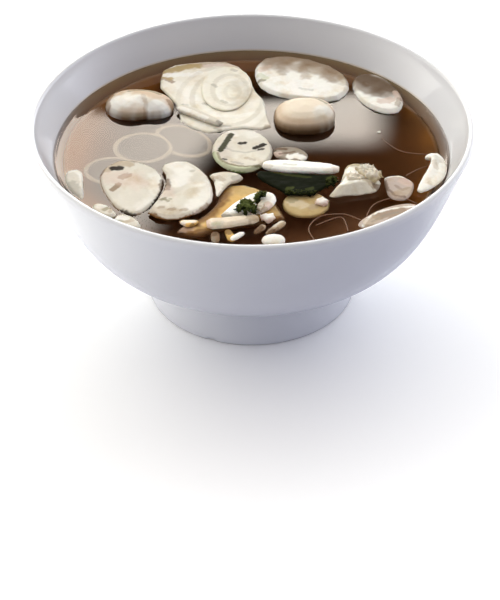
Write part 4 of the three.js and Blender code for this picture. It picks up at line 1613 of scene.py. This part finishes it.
# %% Wall slice and chips
dressed(
    "mushroom_slice_wall",
    CREAM,
    [
        (WHITE, 1.2, 0.7, [(-64.9, -16.1), (-62.5, -15.1), (-60.6, -17.4)]),
        (WHITE, 0.8, 0.5, [(-60.1, -19.4), (-59.4, -25.8), (-59.1, -31.4)]),
        (GREY, 1.6, 0.4, [(-63.5, -24.5), (-60.6, -30.2)]),
    ],
)
dressed(
    "mushroom_chip_left",
    CREAM,
    [
        (OLIVE, 0.7, 0.6, [(-50.7, -41.4), (-49.4, -40.2)]),
        (WHITE, 1, 0.6, [(-52.6, -39.6), (-50.3, -38.4)]),
        (BEIGE, 0.6, 0.6, [(-48.6, -42.6), (-48.0, -40.8)]),
    ],
    lumps=0.4, ripples=0.06,
)
dressed(
    "mushroom_chip_front",
    CREAM,
    [
        (WHITE, 1, 0.6, [(-45.7, -45.4), (-42.9, -46.3)]),
        (BEIGE, 0.7, 0.5, [(-42.8, -48.4), (-40.8, -47.8)]),
        (OLIVE, 0.5, 0.4, [(-45.2, -47.8), (-44.2, -48.1)]),
    ],
    lumps=0.4, ripples=0.06,
)
dressed(
    "mushroom_chip_amber",
    GOLD,
    [
        (PINK, 1, 0.8, [(-25.3, -49.5), (-23.6, -50.7)]),
        (WHITE, 0.8, 0.7, [(-23.0, -49.5), (-19.6, -48.9)]),
        (BROWN, 0.5, 0.6, [(-24.2, -52.2), (-21.5, -53.1), (-19.9, -50.7)]),
    ],
    lumps=0.4, ripples=0.08,
)
dressed(
    "mushroom_crumb_front",
    WHITE,
    [
        (PINK, 1.4, 0.5, [(-1, -56), (3, -57)]),
    ],
    lumps=0.4, ripples=0.08,
)
print("dressed", dressed_so_far(), "pieces")

# %% [markdown]
# The shreds of stem and the two petals at the front are the smallest pieces with a solid of their
# own. One or two strokes give each of them a lit side and a dark one.

# %% Shreds and petals
dressed(
    "stem_shred_left",
    TAUPE,
    [
        (UMBER, 1.2, 0.8, [(-12.7, -53.7), (-12.7, -56.0)]),
        (GREY, 0.6, 0.5, [(-13.0, -58.4), (-12.9, -60.1)]),
    ],
    lumps=0.6, ripples=0.12,
)
dressed(
    "stem_shred_middle",
    GOLD,
    [
        (BROWN, 1.0, 0.7, [(-8.3, -53.4), (-7.6, -55.1)]),
    ],
    lumps=0.6, ripples=0.12,
)
dressed(
    "stem_shred_bright",
    WHITE,
    lumps=0.6, ripples=0.12,
)
dressed(
    "petal_left",
    BEIGE,
    [
        (CREAM, 0.6, 0.5, [(4.9, -48.2), (3.5, -50.6)]),
        (BROWN, 1.0, 0.8, [(2.8, -52.3), (1.5, -54.1)]),
    ],
    lumps=0.6, ripples=0.15,
)
dressed(
    "petal_right",
    BEIGE,
    [
        (CREAM, 0.9, 0.8, [(10.0, -48.3), (7.6, -51.3)]),
        (BROWN, 1.0, 0.8, [(6.9, -54.3), (4.8, -57.2)]),
        (BROWN, 0.5, 0.5, [(8.9, -53.1), (6.9, -55.4)]),
    ],
    lumps=0.6, ripples=0.15,
)
print("dressed", dressed_so_far(), "pieces")

# %% [markdown]
# ## Herbs, frills and crumbs
#
# The herbs are curly, and so is the leaf's edge. Hair particles could carry the leaflets, but each
# would be flat and the same. So each leaflet is a disc with a wavy edge, cupped and given some
# thickness, and chance turns it. The chance is seeded, so it falls the same way each run.

# %% One leaflet
LEAFLET_POINTS = 14
LEAFLET_WAVES = 5
LEAFLET_THICKNESS = 0.16 * MM
WAVE_DEPTH = 0.25
CUP_DEPTH = 0.45
CUP_WAVE = 0.3
chance = np.random.default_rng(7)


def leaflet(centre, size, lean):
    """One cupped leaflet with a wavy edge, as a thin closed body."""
    bpy.ops.mesh.primitive_circle_add(vertices=LEAFLET_POINTS, radius=1, fill_type="TRIFAN")
    piece = fresh("leaflet")
    places = coordinates(piece)
    turns = np.arctan2(places[:, 1], places[:, 0])
    reach = np.linalg.norm(places[:, :2], axis=1)
    wave = np.sin(turns * LEAFLET_WAVES + chance.uniform(0, math.tau))
    places[:, :2] *= (1 + WAVE_DEPTH * wave * reach)[:, None]
    places[:, 2] = reach**2 * (CUP_DEPTH + CUP_WAVE * wave)
    set_coordinates(piece, places * size * MM)
    apply_modifier(piece, "SOLIDIFY", thickness=LEAFLET_THICKNESS, offset=0)
    piece.rotation_euler = (lean[1], lean[0], chance.uniform(0, math.tau))
    piece.location = [value * MM for value in centre]
    bpy.ops.object.transform_apply(location=True, rotation=True, scale=True)
    return piece


print("a leaflet has", LEAFLET_WAVES, "waves round its edge")

# %% [markdown]
# A heap scatters leaflets in an upright oval. They lie inside the herb's own solid, seen from
# above, and lean out from its middle. Left loose they look like parsley. Merged by a remesh and
# smoothed they look like pith and crumbs. A square root spreads them evenly over the oval.

# %% A heap of leaflets
HEAP_REACH = 0.85
HEAP_FALL = 0.5
HEAP_LEAN = 1.1
HEAP_GRAIN = 0.3
HEAP_SOFTEN = 10
LIGHT_FROM = 0.4
LIGHT_OVER = 0.8


def scattered(centre, half, turn, heights, count, sizes):
    """Leaflets at random places in an upright oval, each leaning outwards."""
    low, high = heights
    cosine, sine = math.cos(math.radians(turn)), math.sin(math.radians(turn))
    leaflets = []
    for number in range(count):
        reach = math.sqrt(chance.uniform(0, 1)) * HEAP_REACH
        angle = chance.uniform(0, math.tau)
        across, along = half[0] * reach * math.cos(angle), half[1] * reach * math.sin(angle)
        x = centre[0] + across * cosine - along * sine
        y = centre[1] + across * sine + along * cosine
        rise = low + (high - low) * chance.uniform(0, 1) * (1 - HEAP_FALL * reach**2)
        lean = (across / half[0] * HEAP_LEAN, -along / half[1] * HEAP_LEAN)
        leaflets.append(leaflet((x, y, rise), chance.uniform(*sizes), lean))
    return leaflets


def curly_heap(
    name, centre, half, turn, heights, count, sizes, colours, slot, node=None, merged=False
):
    """A heap of leaflets, loose or merged. A node is the solid it stands for."""
    leaflets = scattered(centre, half, turn, heights, count, sizes)
    bpy.ops.object.select_all(action="DESELECT")
    for part in leaflets:
        part.select_set(True)
    bpy.context.view_layer.objects.active = leaflets[0]
    bpy.ops.object.join()
    piece = fresh(name)
    if merged:
        apply_modifier(piece, "REMESH", mode="VOXEL", voxel_size=HEAP_GRAIN * MM)
        apply_modifier(piece, "SMOOTH", factor=SMOOTHING, iterations=HEAP_SOFTEN)
        swell(piece, strength=GROWTH * MM, mid_level=0)
    clean_mesh(threshold=0)
    bpy.ops.object.shade_smooth()
    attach(piece, "root")
    if node:
        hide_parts(node)
    # Each heap is painted lighter towards its top: painted light on the upper leaflets, painted shade
    # deeper in.
    low, high = heights
    dark, light = colours
    light_from = low + LIGHT_FROM * (high - low)
    painted(piece, dark, bands=[(light, light_from, high + sizes[1] * LIGHT_OVER)])
    piece.data.materials.append(MATERIALS[slot])
    print(name, "has", len(piece.data.polygons), "faces")
    return piece


print("leaflets lean out by up to", round(math.degrees(HEAP_LEAN)), "degrees")

# %% [markdown]
# The two herb sprigs take the place of their solids. The frills are thinner heaps along the leaf's
# edge, which is smooth in the solid and ragged in a real leaf.

# %% Herbs and frills
HERB_SHADES = (HERB_GREEN, HERB_LIGHT)
LEAF_SHADES = (LEAF_GREEN, LEAF_BRIGHT)

curly_heap(
    "curly_herb_left", centre=(-1.9, -43.6), half=(4.2, 4.6), turn=30, heights=(63.6, 65.6),
    count=70, sizes=(0.6, 1.0), colours=HERB_SHADES, slot="herb", node="herb_sprig_left",
)
curly_heap(
    "curly_herb_right", centre=(2.9, -37.4), half=(1.8, 3.7), turn=-24, heights=(63.5, 65.4),
    count=36, sizes=(0.6, 0.9), colours=HERB_SHADES, slot="herb", node="herb_sprig_right",
)
curly_heap(
    "leaf_frill_front", centre=(17, -31.2), half=(6.6, 1.5), turn=0, heights=(61.5, 62.3),
    count=46, sizes=(0.5, 0.9), colours=LEAF_SHADES, slot="leaf",
)
curly_heap(
    "leaf_frill_right", centre=(28, -25), half=(1.7, 3.8), turn=-28, heights=(61.8, 62.8),
    count=30, sizes=(0.5, 0.9), colours=LEAF_SHADES, slot="leaf",
)
print("herbs and frills are in place")

# %% [markdown]
# Torn stem shows lumpy pith, and loose crumbs of mushroom have settled on the slices. Leaflets that
# are larger for their heap melt into one lumpy body when they are merged.

# %% Pith and crumbs
PITH_SHADES = (PITH, CREAM)
CRUMB_SHADES = (BEIGE, CREAM)

curly_heap(
    "stem_pith_right", centre=(41.2, -21.6), half=(4.4, 3.0), turn=-55, heights=(63.0, 64.2),
    count=50, sizes=(1.3, 2.2), colours=PITH_SHADES, slot="stem", merged=True,
)
curly_heap(
    "stem_pith_left", centre=(36.4, -24.6), half=(3.4, 2.0), turn=-10, heights=(62.8, 63.8),
    count=30, sizes=(1.2, 1.8), colours=PITH_SHADES, slot="stem", merged=True,
)
curly_heap(
    "crumb_on_courgette", centre=(24.3, -36.4), half=(2.3, 1.8), turn=20, heights=(60.9, 62.2),
    count=40, sizes=(0.6, 1.0), colours=(PINK, WHITE), slot="mushroom", merged=True,
)
curly_heap(
    "crumbs_on_slab", centre=(3, -42.2), half=(1.1, 3.0), turn=-14, heights=(63.2, 63.9),
    count=26, sizes=(0.4, 0.8), colours=CRUMB_SHADES, slot="mushroom", merged=True,
)
curly_heap(
    "pale_crumb", centre=(5.6, -46.6), half=(2.5, 1.9), turn=0, heights=(61.2, 62.6),
    count=34, sizes=(0.7, 1.2), colours=(PINK, BRIGHT), slot="mushroom", merged=True,
)
print("pith and crumbs are in place")

# %% [markdown]
# ## Colour of the miso cloud
#
# Seen through the broth, the cloud is brown in the middle, greyer at the front where the light
# falls in, and pale where it thins out against the wall. It is painted like the food, with no wet
# coat, because it is inside the liquid.

# %% Miso cloud's colour
CLOUD_BROWN = tone(132, 124, 106)
CLOUD_FRONT = tone(176, 170, 166)
CLOUD_RIGHT = tone(124, 114, 100)
CLOUD_AMBER = tone(200, 162, 100)
CLOUD_WALL = tone(222, 218, 208)
CLOUD_FINISH = (60, 0.3, 0.9, 0, 0.1, 0)

painted(
    cloud,
    CLOUD_BROWN,
    [
        (CLOUD_FRONT, 20, 0.9, [(-10, -36), (25, -34)]),
        (CLOUD_RIGHT, 18, 0.7, [(50, -5), (46, 22)]),
        (CLOUD_WALL, 8, 0.8, [(-26, 16), (-17, 11)]),
    ],
    [(CLOUD_AMBER, 50.2, 54.5), (CLOUD_WALL, 55.5, 57)],
)
cloud.data.materials.append(food_material("miso_cloud", *CLOUD_FINISH))
print("the cloud has", len(cloud.data.polygons), "faces")

# %% [markdown]
# ## Just under the surface
#
# Some slices have sunk and show as grey ovals with a paler rim. A ball flattened to a lens is
# close to them: thick in the middle, thin at its edge. One speck of foam floats above them.

# %% Sunk slices
LENS_SEGMENTS = 72
LENS_RINGS = 36
RIM_INSET = 0.93
SUNK_GREY = tone(80, 72, 66)
SUNK_RIM = tone(164, 154, 134)


def lens(name, centre, half, turn, low, high, base, slot="leek", strokes=(), lumps=0.25):
    """A flat round body between two heights in millimetres, with thin edges."""
    bpy.ops.mesh.primitive_uv_sphere_add(
        segments=LENS_SEGMENTS,
        ring_count=LENS_RINGS,
        radius=1,
        location=(centre[0] * MM, centre[1] * MM, (low + high) / 2 * MM),
        rotation=(0, 0, math.radians(turn)),
        scale=(half[0] * MM, half[1] * MM, (high - low) / 2 * MM),
    )
    piece = fresh(name)
    bpy.ops.object.transform_apply(location=True, rotation=True, scale=True)
    swell(piece, texture=LUMPS, strength=lumps * MM, texture_coords="LOCAL")
    bpy.ops.object.shade_smooth()
    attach(piece, "root")
    painted(piece, base, strokes)
    piece.data.materials.append(MATERIALS[slot])
    return piece


def sunk_slice(name, centre, half, turn, low, high):
    """A thin slice under the surface, with a paler line around its edge."""
    inner = [RIM_INSET * value for value in half]
    rim = (SUNK_RIM, 0.7, 0.9, ring(centre, inner, turn))
    lens(name, centre, half, turn, low, high, SUNK_GREY, strokes=[rim])


sunk_slice("sunk_slice_left", (-39.5, 1), (11, 10.6), 0, 59, 60.3)
sunk_slice("sunk_slice_middle", (-25, 6), (9, 13), 40, 58.4, 60)
sunk_slice("sunk_slice_band", (-50, -14), (10, 9), 0, 58.8, 60.2)
speck = lens("foam_speck", (47, 11), (0.7, 0.8), 0, 60.1, 60.9, WHITE, "mushroom", lumps=0.05)
print("the foam speck has", len(speck.data.polygons), "faces")

# %% [markdown]
# ## Glassy threads
#
# Thin glassy threads of noodle lie on the broth. A thread is a curve with a round bevel. The curve
# passes near its points, so few are needed, and it is turned into a mesh once it is right.

# %% Glassy threads
THREAD_PINK = tone(124, 96, 78)
THREAD_HEIGHT = 60.25
THREAD_THICKNESS = 0.5
THREAD_ORDER = 3
THREAD_BEVEL = 4
THREAD_STEPS = 8
THREADS = [
    [
        (21.3, -57.7), (19.3, -53), (19.5, -49.4), (21.4, -45.6), (24.1, -42.8), (29, -41.9),
        (33.5, -42.2), (38, -46.2),
    ],
    [(21.9, -48.8), (26.9, -45.3), (31.1, -43.1), (32.4, -48), (32.7, -52.4)],
    [
        (39.4, -44), (40.7, -38.6), (43.2, -35.1), (46.7, -33), (50, -31.6), (53.5, -32.2),
        (57.4, -35.7),
    ],
    [(47.9, 7), (50.8, 1.5), (54.6, -2.3), (59.4, -3.6), (63.1, -3.9)],
    [(54.9, -18.1), (56.6, -16.2), (58.6, -14.5), (61.3, -12.6), (63, -12)],
]


def thread(name, places, height, thickness, base, slot="mushroom"):
    """A thin round thread lying along some points on the broth."""
    bpy.ops.curve.primitive_nurbs_path_add(radius=1)
    curve = bpy.context.active_object
    spline = curve.data.splines[0]
    spline.points.add(len(places) - len(spline.points))
    for point, place in zip(spline.points, places):
        point.co = (place[0] * MM, place[1] * MM, height * MM, 1)
    spline.use_endpoint_u = True
    spline.order_u = THREAD_ORDER
    curve.data.bevel_depth = thickness / 2 * MM
    curve.data.bevel_resolution = THREAD_BEVEL
    curve.data.use_fill_caps = True
    curve.data.resolution_u = THREAD_STEPS
    pick(curve)
    bpy.ops.object.convert(target="MESH")
    piece = fresh(name)
    clean_mesh(threshold=DOUBLES / 10)
    bpy.ops.object.shade_smooth()
    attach(piece, "root")
    painted(piece, base)
    piece.data.materials.append(MATERIALS[slot])
    return piece


for number, places in enumerate(THREADS):
    thread(f"glassy_thread_{number + 1}", places, THREAD_HEIGHT, THREAD_THICKNESS, THREAD_PINK)
print("laid", len(THREADS), "glassy threads")

# %% [markdown]
# ## Finish
#
# The height of the dressed soup is printed, measured over everything but the backdrop.

# %% Finish
low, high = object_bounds()
print("the dressed soup is", round((high[2] - low[2]) / MM, 1), "mm tall")
